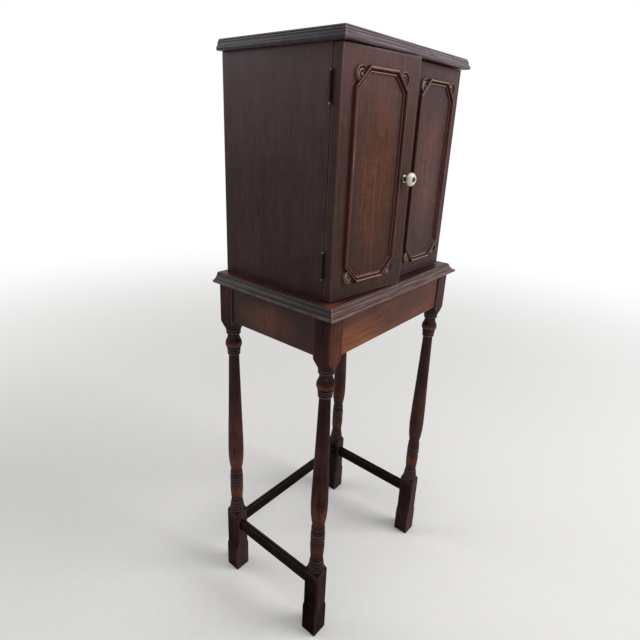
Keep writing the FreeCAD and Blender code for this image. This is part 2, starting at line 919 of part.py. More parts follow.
def ornament(corner_a, corner_b, outward):
    """Carved scroll outside one canted corner: a D-shaped plate, its raised rim and a bud."""
    middle = V((corner_a[0] + corner_b[0]) / 2, door_front, (corner_a[1] + corner_b[1]) / 2)
    centre = middle + outward * ornament_offset
    into = V(0, -1, 0)
    inner = ornament_radius - ornament_rim_width
    slope = ornament_rim_width * ornament_rim_slope_share
    rim = turned(
        [
            (0.0, ornament_radius),
            (ornament_rim_height / 2, ornament_radius),
            (ornament_rim_height, ornament_radius - slope),
            (ornament_rim_height, inner + slope),
            (ornament_plate_thickness, inner),
        ],
        ornament_flat_count, centre, into,
    )
    bud = turned(
        curved([
            (0.0, ornament_bud_radius, 0.0),
            (ornament_plate_thickness, ornament_bud_radius, 0.0),
            (ornament_bud_height, ornament_bud_radius * ornament_bud_top_share,
             ornament_bud_radius * ornament_bud_swell_share),
        ]),
        screw_flat_count, centre + outward * (ornament_radius * ornament_bud_place_share), into,
    )
    reach = 3 * ornament_radius
    along = V(outward.z, 0, -outward.x)
    start = middle - into * overrun
    keep = Part.Face(Part.makePolygon([
        start + along * reach,
        start - along * reach,
        start - along * reach + outward * reach,
        start + along * reach + outward * reach,
        start + along * reach,
    ])).extrude(into * (ornament_rim_height + 2 * overrun))
    return solid_of(rim.fuse(bud).common(keep))


def door_ornaments():
    """The four carved scrolls of the left door, shut."""
    corners = octagon(0.0)
    slant = 1 / diagonal_share
    outwards = {0: V(-slant, 0, -slant), 1: V(slant, 0, -slant),
                2: V(slant, 0, slant), 3: V(-slant, 0, slant)}
    pairs = {0: (7, 0), 1: (1, 2), 2: (3, 4), 3: (5, 6)}
    return Part.makeCompound([
        ornament(corners[pairs[n][0]], corners[pairs[n][1]], outwards[n]) for n in range(4)
    ])


# Knob on the left door

def knob_point(depth):
    """A point on the knob's axis, so far in front of the shut door's face."""
    return V(knob_x, door_front - depth, door_middle_height)


def knob_sizes():
    """Depths at which the neck and the knob end."""
    neck_end = rose_thickness + knob_neck_length
    knob_end = neck_end + knob_length
    return neck_end, knob_end


def knob_piece(outline, flats):
    """A round piece on the knob's axis, from (depth, radius) points."""
    return turned(outline, flats, knob_point(0), V(0, -1, 0))


def bolt_bore(start, end):
    """The bore of the knob's bolt between two depths."""
    radius = knob_bolt_diameter / 2
    return knob_piece([(start, radius), (end, radius)], screw_flat_count)


def knob():
    """Glazed ceramic knob: a flattened ball on a waist, with a round face."""
    neck_end, knob_end = knob_sizes()
    radius = knob_diameter / 2
    waist = knob_waist_diameter / 2
    face = knob_face_diameter / 2
    body = knob_piece(
        curved([
            (neck_end, waist, 0.0),
            (neck_end + knob_length * knob_waist_share, waist, 0.0),
            (neck_end + knob_length * knob_belly_share, radius, radius * knob_belly_swell_share),
            (knob_end, face, radius * knob_face_swell_share),
        ]),
        knob_flat_count,
    )
    sunk = knob_end - knob_ring_thickness / 2
    recess = knob_piece([(sunk, knob_ring_diameter / 2),
                         (knob_end + overrun, knob_ring_diameter / 2)], fitting_flat_count)
    return pierced(body.cut(recess), bolt_bore(-overrun, knob_end + overrun))


def knob_rose():
    """Brass rose on the door with the neck that carries the knob."""
    neck_end = knob_sizes()[0]
    neck, rim = knob_neck_diameter / 2, rose_diameter / 2
    body = knob_piece(
        [
            (0.0, rim),
            (rose_thickness / 2, rim),
            (rose_thickness, rim * rose_top_share),
            (rose_thickness * rose_collar_share, neck),
            (neck_end, neck),
        ],
        rose_flat_count,
    )
    return pierced(body, bolt_bore(-overrun, neck_end + overrun))


def knob_ring():
    """Brass ring let into the knob's face under the bolt's head."""
    knob_end = knob_sizes()[1]
    low = knob_end - knob_ring_thickness / 2
    high = knob_end + knob_ring_thickness / 2
    ring = knob_piece(
        [
            (low, knob_ring_diameter / 2),
            (knob_end, knob_ring_diameter / 2),
            (high, knob_bolt_head_diameter / 2),
        ],
        fitting_flat_count,
    )
    return pierced(ring, bolt_bore(-overrun, high + overrun))


def knob_bolt_ends():
    """Depths of the bolt's tail, nut, washer and the underside of its head."""
    washer_face = -door_thickness - knob_washer_thickness
    nut_face = washer_face - knob_nut_height
    tail = nut_face - knob_bolt_tail
    head = knob_sizes()[1] + knob_ring_thickness / 2
    return tail, nut_face, washer_face, head


def knob_bolt():
    """Bolt from the knob's face through the door."""
    tail, nut_face, washer_face, head = knob_bolt_ends()
    head_radius = knob_bolt_head_diameter / 2
    shank = bolt_bore(tail, head)
    dome = knob_piece(
        [
            (head, head_radius),
            (head + knob_bolt_head_height / 2, head_radius),
            (head + knob_bolt_head_height, head_radius / 2),
        ],
        fitting_flat_count,
    )
    return solid_of(shank.fuse(dome))


def knob_washer():
    """Washer inside the door."""
    washer_face = knob_bolt_ends()[2]
    radius = knob_washer_diameter / 2
    disc = knob_piece([(washer_face, radius), (-door_thickness, radius)], fitting_flat_count)
    return pierced(disc, bolt_bore(washer_face - overrun, overrun))


def knob_nut():
    """Hexagonal nut inside the door."""
    nut_face, washer_face = knob_bolt_ends()[1:3]
    radius = knob_nut_diameter / 2
    body = knob_piece([(nut_face, radius), (washer_face, radius)], nut_side_count)
    return pierced(body, bolt_bore(nut_face - overrun, washer_face + overrun))


def left_door_board():
    """The left door's board, bored for the knob's bolt."""
    return pierced(door_board(), bolt_bore(-door_thickness - overrun, overrun))


# All the pieces

def build():
    """Every sub-part by its name, in place, before the last move along Y."""
    parts = {
        "stand_top": stand_top(),
        "apron_front": apron_along_x(True),
        "apron_back": apron_along_x(False),
        "apron_left": apron_along_y(-1),
        "apron_right": apron_along_y(1),
        "leg_front_left": leg(-1, -1),
        "leg_front_right": leg(1, -1),
        "leg_back_left": leg(-1, 1),
        "leg_back_right": leg(1, 1),
        "stretcher_left": stretcher_side(-1),
        "stretcher_right": stretcher_side(1),
        "stretcher_back": stretcher_back(),
        "glue_blocks": glue_blocks(),
        "holding_screws": holding_screws(),
        "side_left": side_panel(),
        "side_right": mirrored(side_panel()),
        "cabinet_bottom": cabinet_bottom(),
        "inner_top": inner_top(),
        "cornice": cornice(),
        "cornice_screws": cornice_screws(),
        "back_panel": back_panel(),
        "back_screws": back_screws(),
        "shelf_lower": shelf(shelf_height_shares[0]),
        "shelf_upper": shelf(shelf_height_shares[1]),
        "shelf_cleats": shelf_cleats(),
        "catch_blocks": catch_blocks(),
    }
    carcass_leaves = Part.makeCompound([hinge_leaf(h, 1) for h in hinge_heights])
    pins = Part.makeCompound([hinge_pin(h) for h in hinge_heights])
    door_leaves = Part.makeCompound([hinge_leaf(h, -1) for h in hinge_heights])
    parts.update({
        "hinge_left_carcass_leaves": carcass_leaves,
        "hinge_right_carcass_leaves": mirrored(carcass_leaves),
        "hinge_left_pins": pins,
        "hinge_right_pins": mirrored(pins),
    })
    doors = {
        "moulding": door_moulding(),
        "ornaments": door_ornaments(),
        "hinge_leaves": door_leaves,
        "strike": strike(),
    }
    parts["door_left"] = swing_left(left_door_board())
    parts["door_right"] = mirrored(door_board())
    for name, shape in doors.items():
        parts["door_left_" + name] = swing_left(shape)
        parts["door_right_" + name] = mirrored(shape)
    for name, shape in (("knob", knob()), ("knob_rose", knob_rose()), ("knob_ring", knob_ring()),
                        ("knob_bolt", knob_bolt()), ("knob_washer", knob_washer()),
                        ("knob_nut", knob_nut())):
        parts[name] = swing_left(shape)
    return parts


def centre_shift(parts):
    """The move along Y that puts the origin under the middle of the whole object."""
    boxes = [shape.optimalBoundingBox(False) for shape in parts.values()]
    front = min(bounds.YMin for bounds in boxes)
    back = max(bounds.YMax for bounds in boxes)
    return -(front + back) / 2


def main():
    """Build, move and write every sub-part."""
    os.makedirs("parts", exist_ok=True)
    parts = build()
    shift = centre_shift(parts)
    for name, shape in parts.items():
        shape.translate(V(0, shift, 0))
        shape.exportStep("parts/" + name + ".step")
    print("sub-parts:", len(parts))
    print("shift along Y:", round(shift, 4))
    print("hinge axes: x", round(hinge_x, 4), "y", round(hinge_y + shift, 4))
    print("hinge heights:", [round(height, 3) for height in hinge_heights])
    print("inside: x", carcass_inner, "y", round(carcass_front + shift, 3),
          round(back_front_face + shift, 3), "z", inside_bottom, inside_top)
    print("shelf tops:", [round(shelf_top_height(share), 3) for share in shelf_height_shares])
    print("post centres: x", post_x, "y", round(-post_y + shift, 3), round(post_y + shift, 3))


main()
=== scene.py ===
"""Collectors cabinet on stand: its visible pieces, its finishes and a plain studio."""

import cmath
import json
import logging
import math
from collections.abc import Callable, Sequence
from dataclasses import dataclass, replace
from enum import Enum
from functools import cache

import bmesh
import bpy
from bmesh.types import BMEdge, BMFace, BMVert
from mathutils import Matrix, Vector


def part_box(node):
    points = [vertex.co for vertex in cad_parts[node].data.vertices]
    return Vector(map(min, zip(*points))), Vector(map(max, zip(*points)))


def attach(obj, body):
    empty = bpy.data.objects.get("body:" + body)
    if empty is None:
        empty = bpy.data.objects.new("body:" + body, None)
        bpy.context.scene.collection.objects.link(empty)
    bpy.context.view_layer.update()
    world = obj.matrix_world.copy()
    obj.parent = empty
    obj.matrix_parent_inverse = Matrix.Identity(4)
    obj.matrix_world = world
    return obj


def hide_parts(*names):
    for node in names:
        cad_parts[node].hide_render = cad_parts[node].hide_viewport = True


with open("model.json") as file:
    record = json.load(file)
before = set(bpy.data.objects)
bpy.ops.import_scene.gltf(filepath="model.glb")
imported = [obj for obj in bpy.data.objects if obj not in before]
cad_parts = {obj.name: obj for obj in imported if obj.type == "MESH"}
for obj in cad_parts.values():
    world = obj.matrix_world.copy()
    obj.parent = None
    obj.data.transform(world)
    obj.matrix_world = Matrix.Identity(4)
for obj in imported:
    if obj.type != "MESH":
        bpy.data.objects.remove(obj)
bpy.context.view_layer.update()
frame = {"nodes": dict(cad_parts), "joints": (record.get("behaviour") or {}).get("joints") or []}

log = logging.getLogger("collectors_cabinet")

Colour = tuple[int, int, int]
Pair = tuple[float, float]
Triple = tuple[float, float, float]
Place = Callable[[float, float], Vector]

MM = 0.001
CASE = "stand_and_cabinet"
SHUT_DOOR = "door_right"
CASE_HALF = 200.0
SLANT = 1 / math.sqrt(2)
WEAR_REACH = 1.6
WEAR_GAIN = 1.8
CORNER_BAND = 3.5
CORNER_WEAR_AND_HIGHLIGHT = 0.85
TOP_BAND = 4.0
TOLERANCE = 1e-5
FACING_FRONT = Matrix.Rotation(math.radians(90.0), 4, "X")


def in_mm(node: str) -> tuple[Vector, Vector]:
    """Lowest and highest corner of a solid, in millimetres."""
    low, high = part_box(node)
    return low / MM, high / MM


def joint_of(body: str) -> dict[str, object]:
    """The joint on which a body moves."""
    return next(joint for joint in frame["joints"] if joint["child"] == body)


def edges_at(verts: Sequence[BMVert]) -> list[BMEdge]:
    """The edges that meet at these vertices, each once."""
    return list(dict.fromkeys(edge for vert in verts for edge in vert.link_edges))


def faces_at(verts: Sequence[BMVert]) -> list[BMFace]:
    """The faces that meet at these vertices, each once."""
    return list(dict.fromkeys(face for vert in verts for face in vert.link_faces))


def turned_to(way: Vector, axis: str) -> Matrix:
    """A turn that points an axis, such as Z or -Z, along a way."""
    return way.to_track_quat(axis, "Y").to_matrix().to_4x4()


# Profiles

class Profile:
    """A profile drawn step by step as (out, along) points, with the outside on the right."""

    def __init__(self, out: float, along: float) -> None:
        """Starts the profile at a point."""
        self.points: list[Pair] = [(out, along)]

    def line(self, *ends: Pair) -> "Profile":
        """Goes straight from point to point."""
        self.points.extend(ends)
        return self

    def arc(self, through: Pair, end: Pair, steps: int) -> "Profile":
        """Follows the circle through the last point and two more.

        Args:
            through: A point on the way.
            end: The point where the arc ends.
            steps: Flats along the arc.

        Returns:
            The profile itself.
        """
        first, middle, last = (complex(*point) for point in (self.points[-1], through, end))
        ratio = (last - first) / (middle - first)
        centre = first + (middle - first) * (ratio - abs(ratio) ** 2) / (2j * ratio.imag)
        sweep = cmath.phase((last - centre) / (first - centre)) % math.tau
        if ratio.imag < 0:
            sweep -= math.tau
        for index in range(1, steps):
            point = centre + (first - centre) * cmath.exp(1j * sweep * index / steps)
            self.points.append((point.real, point.imag))
        return self.line(end)

    def bead(self, end: Pair, bulge: float, steps: int) -> "Profile":
        """A half-round bead that rises from a quirk at both ends."""
        return self._curve(end, steps, lambda t: bulge * math.sin(math.pi * t) ** 0.62)

    def swell(self, end: Pair, bulge: float, steps: int) -> "Profile":
        """A gentle curve, out with a positive bulge and in with a negative one."""
        return self._curve(end, steps, lambda t: 4 * bulge * t * (1 - t))

    def _curve(self, end: Pair, steps: int, lift: Callable[[float], float]) -> "Profile":
        """Adds points towards an end, each lifted outwards.

        Args:
            end: The point where the curve ends.
            steps: Flats along it.
            lift: How far it stands out at a share of the way.

        Returns:
            The profile itself.
        """
        (out, along), (last_out, last_along) = self.points[-1], end
        for index in range(1, steps):
            eased = (1 - math.cos(math.pi * index / steps)) / 2
            self.points.append((out + (last_out - out) * eased + lift(eased),
                                along + (last_along - along) * eased))
        return self.line(end)

    def standing(self, closed: bool = False) -> list[float]:
        """How much each point stands out of its neighbourhood, for wear and painted highlights on
        crests and for grime and painted shade in quirks.

        Args:
            closed: True where the last point joins the first.

        Returns:
            One number from -1, deep in a quirk, to 1, on a sharp arris, for each point.
        """
        found = []
        for index, (out, along) in enumerate(self.points):
            (x0, y0), (x1, y1) = (self._reached(index, way, closed) for way in (-1, 1))
            chord = math.hypot(x1 - x0, y1 - y0) or 1.0
            lift = ((out - x0) * (y1 - y0) - (along - y0) * (x1 - x0)) / chord
            found.append(max(-1.0, min(1.0, WEAR_GAIN * lift / WEAR_REACH)))
        return found

    def _reached(self, index: int, way: int, closed: bool) -> Pair:
        """Where one gets from a point in WEAR_REACH along the profile.

        Args:
            index: Number of the point.
            way: 1 for onwards, -1 for back.
            closed: True where the last point joins the first.

        Returns:
            The point that is reached, or the end of an open profile.
        """
        left, at, count = WEAR_REACH, index, len(self.points)
        last = self.points[index]
        while left > 0 and abs(at - index) <= count and (closed or 0 <= at + way < count):
            at += way
            point = self.points[at % count]
            gap = math.dist(last, point)
            share = min(1.0, left / gap) if gap else 1.0
            last = (last[0] + (point[0] - last[0]) * share, last[1] + (point[1] - last[1]) * share)
            left -= gap
        return last


# Shader wiring

def linear(colour: Colour) -> tuple[float, ...]:
    """A display colour, its parts from 0 to 255, as the shader wants it, with full alpha."""
    shares = [part / 255 for part in colour]
    return *(s / 12.92 if s <= 0.04045 else ((s + 0.055) / 1.055) ** 2.4 for s in shares), 1.0


def toned(colour: Colour, factor: float, warm: float = 0.0) -> Colour:
    """A colour made lighter by a factor, with more red and less blue by a warm share."""
    shares = (1 + warm, 1, 1 - warm)
    return tuple(min(255, round(part * factor * share)) for part, share in zip(colour, shares))


def math_node(operation: str, swapped: bool = False) -> "Callable[[Signal, Signal | float], Signal]":
    """A method that joins two values in one Math node.

    Args:
        operation: What the node does.
        swapped: True where the other value comes first.

    Returns:
        The method.
    """
    def method(one: "Signal", other: "Signal | float") -> "Signal":
        """This value and the other, joined."""
        first, second = (other, one) if swapped else (one, other)
        return one.wiring.make("ShaderNodeMath", "Value", {0: first, 1: second},
                               operation=operation)
    return method


class Signal:
    """A number in a material's wiring, so that masks and tones are written as sums."""

    __add__, __radd__ = math_node("ADD"), math_node("ADD", True)
    __sub__, __rsub__ = math_node("SUBTRACT"), math_node("SUBTRACT", True)
    __mul__, __rmul__ = math_node("MULTIPLY"), math_node("MULTIPLY", True)
    least, most = math_node("MINIMUM"), math_node("MAXIMUM")

    def __init__(self, wiring: "Wiring", socket: bpy.types.NodeSocket) -> None:
        """Holds one output socket of a material's wiring."""
        self.wiring = wiring
        self.socket = socket

    def between(self, low: float, high: float) -> "Signal":
        """A soft step: 0 below low, 1 above high."""
        return self.wiring.make(
            "ShaderNodeMapRange", "Result",
            {"Value": self, "From Min": low, "From Max": high, "To Min": 0.0, "To Max": 1.0},
            interpolation_type="SMOOTHSTEP")

    def other(self, output: str) -> "Signal":
        """Another output of the same node."""
        return Signal(self.wiring, self.socket.node.outputs[output])


class Noise(Enum):
    """The patterns of noise: features per metre, finer layers on them and their strength."""

    DRIFT = (4.0, 2.0, 0.5)
    RIBBON = (40.0, 2.0, 0.5)
    STREAK = (210.0, 4.0, 0.65)
    FIBRE = (700.0, 3.0, 0.65)
    PORE = (1900.0, 1.0, 0.5)
    CLOUD = (8.0, 3.0, 0.55)
    BLOT = (48.0, 4.0, 0.62)
    RIPPLE = (170.0, 3.0, 0.55)
    RUBBING = (22.0, 3.0, 0.6)
    SCORING = (420.0, 3.0, 0.6)
    TARNISH = (240.0, 4.0, 0.6)
    SCRATCH = (2600.0, 3.0, 0.6)
    MOTTLE = (130.0, 3.0, 0.5)
    GRIT = (1800.0, 2.0, 0.5)
    SCUFF = (300.0, 3.0, 0.6)
    SPECK = (40.0, 3.0, 0.5)


class Wiring:
    """The nodes of a material or a world, made one call at a time."""

    def __init__(self, owner: str | bpy.types.World) -> None:
        """Starts an empty material of that name, or empties the world that is given."""
        self.owner = bpy.data.materials.new(owner) if isinstance(owner, str) else owner
        self.owner.use_nodes = True
        self.tree = self.owner.node_tree
        self.tree.nodes.clear()

    def make(self, kind: str, output: str | int,
             sockets: dict[str | int, object] | None = None, **settings: object) -> Signal:
        """Any node: its settings first, then the values or links of its sockets.

        Args:
            kind: The node's type.
            output: The output that is wanted.
            sockets: A value or a Signal for each input by name or number.
            settings: Its settings; stops is a colour ramp's list of (position, colour).

        Returns:
            That output.
        """
        made = self.tree.nodes.new(kind)
        for name, value in settings.items():
            if name == "stops":
                self._set_stops(made.color_ramp, value)
            else:
                setattr(made, name, value)
        for key, value in (sockets or {}).items():
            if isinstance(value, Signal):
                self.tree.links.new(value.socket, made.inputs[key])
            else:
                made.inputs[key].default_value = value
        return Signal(self, made.outputs[output])

    @staticmethod
    def _set_stops(ramp: bpy.types.ColorRamp, stops: Sequence[tuple[float, Colour]]) -> None:
        """Gives a colour ramp its stops."""
        while len(ramp.elements) < len(stops):
            ramp.elements.new(1.0)
        for element, (position, colour) in zip(ramp.elements, stops):
            element.position = position
            element.color = linear(colour)

    def mix(self, share: Signal | float, first: Signal | Colour,
            second: Signal | Colour) -> Signal:
        """Two colours mixed: a share of 0 gives the first and 1 the second."""
        first, second = (c if isinstance(c, Signal) else linear(c) for c in (first, second))
        return self.make("ShaderNodeMix", 2, {0: share, 6: first, 7: second}, data_type="RGBA")

    def vector(self, operation: str, first: Signal, second: "Signal | Sequence[float]") -> Signal:
        """Two vectors joined in one Vector Math node."""
        second = second if isinstance(second, Signal) else tuple(second)
        return self.make("ShaderNodeVectorMath", "Vector", {0: first, 1: second},
                         operation=operation)

    def length(self, vector: Signal) -> Signal:
        """How long a vector is."""
        return self.make("ShaderNodeVectorMath", "Value", {0: vector}, operation="LENGTH")

    def place(self) -> Signal:
        """Where a point of the object is, in metres."""
        return self.make("ShaderNodeTexCoord", "Object")

    def noise(self, place: Signal, pattern: Noise, output: str = "Fac") -> Signal:
        """Smooth noise round 0.5 over a place: Fac for a number, Color for three."""
        scale, detail, rough = pattern.value
        return self.make("ShaderNodeTexNoise", output, {
            "Vector": place, "Scale": scale, "Detail": detail, "Roughness": rough})

    def attribute(self, name: str, output: str = "Fac") -> Signal:
        """What the mesh carries at its vertices or corners."""
        return self.make("ShaderNodeAttribute", output, attribute_name=name)

    def bump(self, height: Signal, strength: float, distance: float) -> Signal:
        """A normal bent by a height, with the height's full range worth distance metres."""
        return self.make("ShaderNodeBump", "Normal", {
            "Height": height, "Strength": strength, "Distance": distance})

    def close(self, sockets: dict[str, object]) -> bpy.types.Material:
        """Ends the wiring in a Principled shader with these inputs set."""
        return self.show(self.make("ShaderNodeBsdfPrincipled", "BSDF", sockets))

    def show(self, shader: Signal, kind: str = "Material") -> bpy.types.Material | bpy.types.World:
        """Sends a shader to the surface and hands over what it belongs to."""
        end = self.tree.nodes.new("ShaderNodeOutput" + kind)
        self.tree.links.new(shader.socket, end.inputs["Surface"])
        return self.owner


# Finishes

class Grain(Enum):
    """Which way the grain runs: the scale of the pattern along X, Y and Z."""

    ACROSS = (0.045, 1.0, 1.0)
    DEEP = (1.0, 0.045, 1.0)
    UPRIGHT = (1.0, 1.0, 0.045)

    @property
    def axis(self) -> str:
        """The axis that the grain follows."""
        return "XYZ"[self.value.index(min(self.value))]

    def eased(self, along: float, across: float) -> Triple:
        """A scale with its own number along the grain and another across it."""
        return tuple(across if scale == 1.0 else along for scale in self.value)


@dataclass(frozen=True)
class Patch:
    """A place where the wood shows warmer: warm figure through its polish, and on some pieces a
    painted pool of light where a face stands lit.
    """

    at: Triple
    reach: Triple
    share: float


@dataclass(frozen=True)
class Wood:
    """Polished or bare timber: ribbon figure, fibres, pores, end grain, warm patches, wear, and
    painted light: sheen and a lighter tone where a face stands lit, painted shade in quirks and on
    shaded edges, painted highlights on crests.
    """

    grain: Grain
    base: Colour
    warm: Colour
    worn: Colour
    end: Colour
    # The grime colour fills the pores and, in quirks and hollows, also paints shade.
    grime: Colour = (16, 9, 9)
    # Painted sheen: a grey-mauve colour for moulded edges where they stand in the light.
    edge: Colour | None = None
    # Painted sheen: a grey-mauve reflection laid into the colour where the vertex layer paints
    # light.
    haze: Colour = (92, 80, 84)
    contrast: float = 0.3
    ribbon: float = 0.4
    figure: float = 0.7
    ripple: float = 0.0
    warmth: float = 0.3
    patches: tuple[Patch, ...] = ()
    wear: float = 0.35
    scratches: float = 0.0
    polish: float = 0.07
    gloss: float = 0.42
    sheen_level: float = 0.06
    shine: float = 0.0
    tilt: float = 0.0
    drift: float = 0.02
    pore_stretch: float = 3.0
    ripple_stretch: float = 0.35

    def material(self, name: str) -> bpy.types.Material:
        """Mixes the timber's finish.

        Args:
            name: Name of the material.

        Returns:
            The material.
        """
        w = Wiring(name)
        place = w.place()
        laid = w.make("ShaderNodeMapping", "Vector", {
            "Vector": place, "Rotation": (0.0, math.radians(self.tilt), 0.0)})
        bent = w.vector("ADD", laid, w.vector(
            "MULTIPLY", w.noise(laid, Noise.DRIFT, "Color"), [self.drift] * 3))
        long_bent, long_laid = (w.vector("MULTIPLY", p, self.grain.value) for p in (bent, laid))
        short_laid = w.vector("MULTIPLY", laid, self.grain.eased(
            self.pore_stretch * min(self.grain.value), 1.0))
        ribbon, streak = w.noise(long_bent, Noise.RIBBON), w.noise(long_bent, Noise.STREAK)
        fibre = w.noise(long_laid, Noise.FIBRE)
        pore = w.noise(short_laid, Noise.PORE).between(0.6, 0.7)
        cloud, blot = w.noise(place, Noise.CLOUD), w.noise(place, Noise.BLOT)
        bleach, stands = w.attribute("bleach"), w.attribute("wear")
        # The tone is raised where the vertex layer paints light and lowered where it paints shade.
        tone = (ribbon * self.ribbon + streak * self.figure + fibre * 0.7 + cloud * 0.4
                + blot * 0.4 + bleach * 0.3) - (0.25 + 0.5 * (self.ribbon + self.figure))
        if self.ripple:
            across = self.grain.eased(1.0, self.ripple_stretch)
            ripple = w.noise(w.vector("MULTIPLY", bent, across), Noise.RIPPLE)
            tone = tone + (ripple - 0.5) * blot.between(0.35, 0.65) * self.ripple
        colour = w.make("ShaderNodeValToRGB", "Color", {"Fac": tone}, stops=[
            (0.2, toned(self.base, 1 - self.contrast)), (0.5, self.base),
            (0.8, toned(self.base, 1 + self.contrast, 0.03))])
        warm = self.warm_share(w, place, cloud, blot)
        colour = w.mix(warm * (0.4 + streak * 1.2), colour, self.streaked(w, tone, 0.25, self.warm))
        # Painted sheen, laid where the vertex layer paints light.
        colour = w.mix((bleach * 0.8).most(0.0), colour, self.haze)
        colour = self.edged(w, colour, place, fibre)
        colour = w.mix(pore * 0.35, colour, self.grime)
        # Wear and painted highlights: crests and arrises take the worn colour, which on beads and
        # rims also stands in for their highlights.
        rubbed = (stands * (0.4 + 1.2 * blot)).between(0.28, 0.85) * self.wear
        colour = w.mix(rubbed, colour, self.worn)
        # Grime and painted shade: quirks and hollows are darkened with the grime colour.
        crevice_grime_and_shade = ((0.0 - stands) * (0.6 + 0.8 * blot)).between(0.1, 0.55) * 0.8
        rough = self.gloss + (cloud - 0.5) * 0.25 + pore * 0.15 + crevice_grime_and_shade * 0.25 + rubbed * 0.1
        coat = (self.polish * (0.6 + cloud + bleach) * (1.0 - 0.7 * crevice_grime_and_shade)
                + stands.between(0.1, 0.6) * self.shine).least(1.0)
        height = fibre * 0.35 + streak * 0.25 - pore * 0.9
        return w.close({
            "Base Color": w.mix(crevice_grime_and_shade, colour, self.grime), "Roughness": rough.most(0.12),
            "Coat Weight": coat.most(0.0), "Coat Roughness": 0.2,
            "Specular IOR Level": self.sheen_level,
            "Normal": w.bump(height, strength=0.35, distance=0.00022)})

    def streaked(self, w: Wiring, tone: Signal, low: float, colour: Colour,
                 dark: float = 0.76, light: float = 1.2) -> Signal:
        """A colour that runs from a darker to a lighter shade of itself.

        Args:
            w: The material's wiring.
            tone: What it follows.
            low: Where the dark shade starts to give way; the light one is as far from 1.
            colour: The colour.
            dark: Factor of the dark shade.
            light: Factor of the light shade.

        Returns:
            The streaked colour.
        """
        return w.mix(tone.between(low, 1 - low), toned(colour, dark), toned(colour, light))

    def warm_share(self, w: Wiring, place: Signal, cloud: Signal, blot: Signal) -> Signal:
        """Where the wood shows warmer: in clouds, in patches, some of them painted pools of light,
        and where it is rubbed through.

        Args:
            w: The material's wiring.
            place: Object coordinates.
            cloud: Broad noise.
            blot: Finer noise.

        Returns:
            The mask.
        """
        warm = cloud.between(0.46, 0.72) * self.warmth
        for patch in self.patches:
            away = w.vector("SUBTRACT", place, patch.at)
            far = w.length(w.vector("DIVIDE", away, patch.reach))
            near = 1.0 - (far + (blot - 0.5) * 0.8).between(0.3, 1.15)
            warm = warm.most(near * patch.share)
        uneven = w.noise(place, Noise.RUBBING).between(0.3, 0.66)
        through = w.attribute("rub") * (0.3 * blot + 0.3 + 0.7 * uneven)
        return warm.most(through.between(0.0, 1.0) * 0.9)

    def edged(self, w: Wiring, colour: Signal, place: Signal, fibre: Signal) -> Signal:
        """Lays a painted sheen on moulded edges and the colour of end grain on the timber.

        Args:
            w: The material's wiring.
            colour: The timber's colour.
            place: Object coordinates.
            fibre: Fine streaks along the grain.

        Returns:
            The colour with its edges.
        """
        upward = w.make("ShaderNodeSeparateXYZ", "Z", {0: w.attribute("facing", "Vector")})
        if self.edge is not None:
            fibre = w.noise(w.vector("MULTIPLY", place, (0.03, 0.03, 1.0)), Noise.SCORING)
            # Painted sheen: faces that do not face up or down take the grey-mauve edge colour.
            aside = 1.0 - (upward * upward).between(0.93, 0.995)
            scored = fibre.between(0.5, 0.66) * self.scratches
            moulded_sheen = self.streaked(w, fibre, 0.36, self.edge, 0.82, 1.16)
            colour = w.mix(aside * 0.9, colour, w.mix(scored, moulded_sheen, self.worn))
        along = upward.other(self.grain.axis)
        cut = (along * along).between(0.03, 0.3)
        return w.mix(cut * 0.88, colour, self.streaked(w, fibre, 0.36, self.end, 0.88, 1.1))


@dataclass(frozen=True)
class Metal:
    """Brass or steel with fine scratches and tarnish in its quirks."""

    bright: Colour
    tarnish: Colour
    dullness: float
    gloss: float

    def material(self, name: str) -> bpy.types.Material:
        """Mixes the metal's finish under a name."""
        w = Wiring(name)
        place = w.place()
        blotch = w.noise(place, Noise.TARNISH)
        scratch = w.noise(w.vector("MULTIPLY", place, (1.0, 1.0, 0.12)), Noise.SCRATCH)
        stands = w.attribute("wear")
        dull = (blotch.between(0.35, 0.68) * 0.6 + (0.0 - stands).between(0.05, 0.6) * 0.5
                + self.dullness - stands.between(0.3, 0.9) * 0.35).most(0.0).least(1.0)
        return w.close({
            "Base Color": w.mix(dull, self.bright, self.tarnish), "Metallic": 1.0 - dull * 0.25,
            "Roughness": self.gloss + dull * 0.25 + (scratch - 0.5) * 0.12,
            "Normal": w.bump(scratch + blotch * 0.6, strength=0.18, distance=0.00008)})


@dataclass(frozen=True)
class Glaze:
    """White glazed ceramic with a faint mottle, hair crazing and grime round its edges."""

    white: Colour
    shade: Colour
    craze: Colour
    cell_scale: float = 210.0

    def material(self, name: str) -> bpy.types.Material:
        """Mixes the glaze under a name."""
        w = Wiring(name)
        place = w.place()
        mottle = w.noise(place, Noise.MOTTLE)
        cracks = w.make("ShaderNodeTexVoronoi", "Distance", {
            "Vector": place, "Scale": self.cell_scale, "Randomness": 1.0},
            feature="DISTANCE_TO_EDGE")
        hair = (1.0 - cracks.between(0.0, 0.03)) * mottle.between(0.42, 0.6) * 0.35
        grime = (0.0 - w.attribute("wear")).between(0.05, 0.5) * 0.6
        colour = w.mix(mottle.between(0.3, 0.75), self.white, self.shade)
        return w.close({
            "Base Color": w.mix((hair + grime).least(1.0), colour, self.craze),
            "Roughness": 0.1 + 0.08 * mottle + grime * 0.3, "Coat Weight": 0.6,
            "Coat Roughness": 0.04, "Normal": w.bump(mottle, strength=0.12, distance=0.0003)})


@dataclass(frozen=True)
class Plastic:
    """Plain moulded plastic with a fine texture."""

    colour: Colour
    scuffed: Colour

    def material(self, name: str) -> bpy.types.Material:
        """Mixes the plastic's finish under a name."""
        w = Wiring(name)
        place = w.place()
        grit = w.noise(place, Noise.GRIT)
        scuff = w.noise(place, Noise.SCUFF).between(0.5, 0.75)
        scuff = (scuff * 0.5 + w.attribute("wear").between(0.4, 1.0) * 0.4).least(1.0)
        return w.close({
            "Base Color": w.mix(scuff, self.colour, self.scuffed),
            "Roughness": 0.42 + 0.15 * grit,
            "Normal": w.bump(grit, strength=0.25, distance=0.00012)})


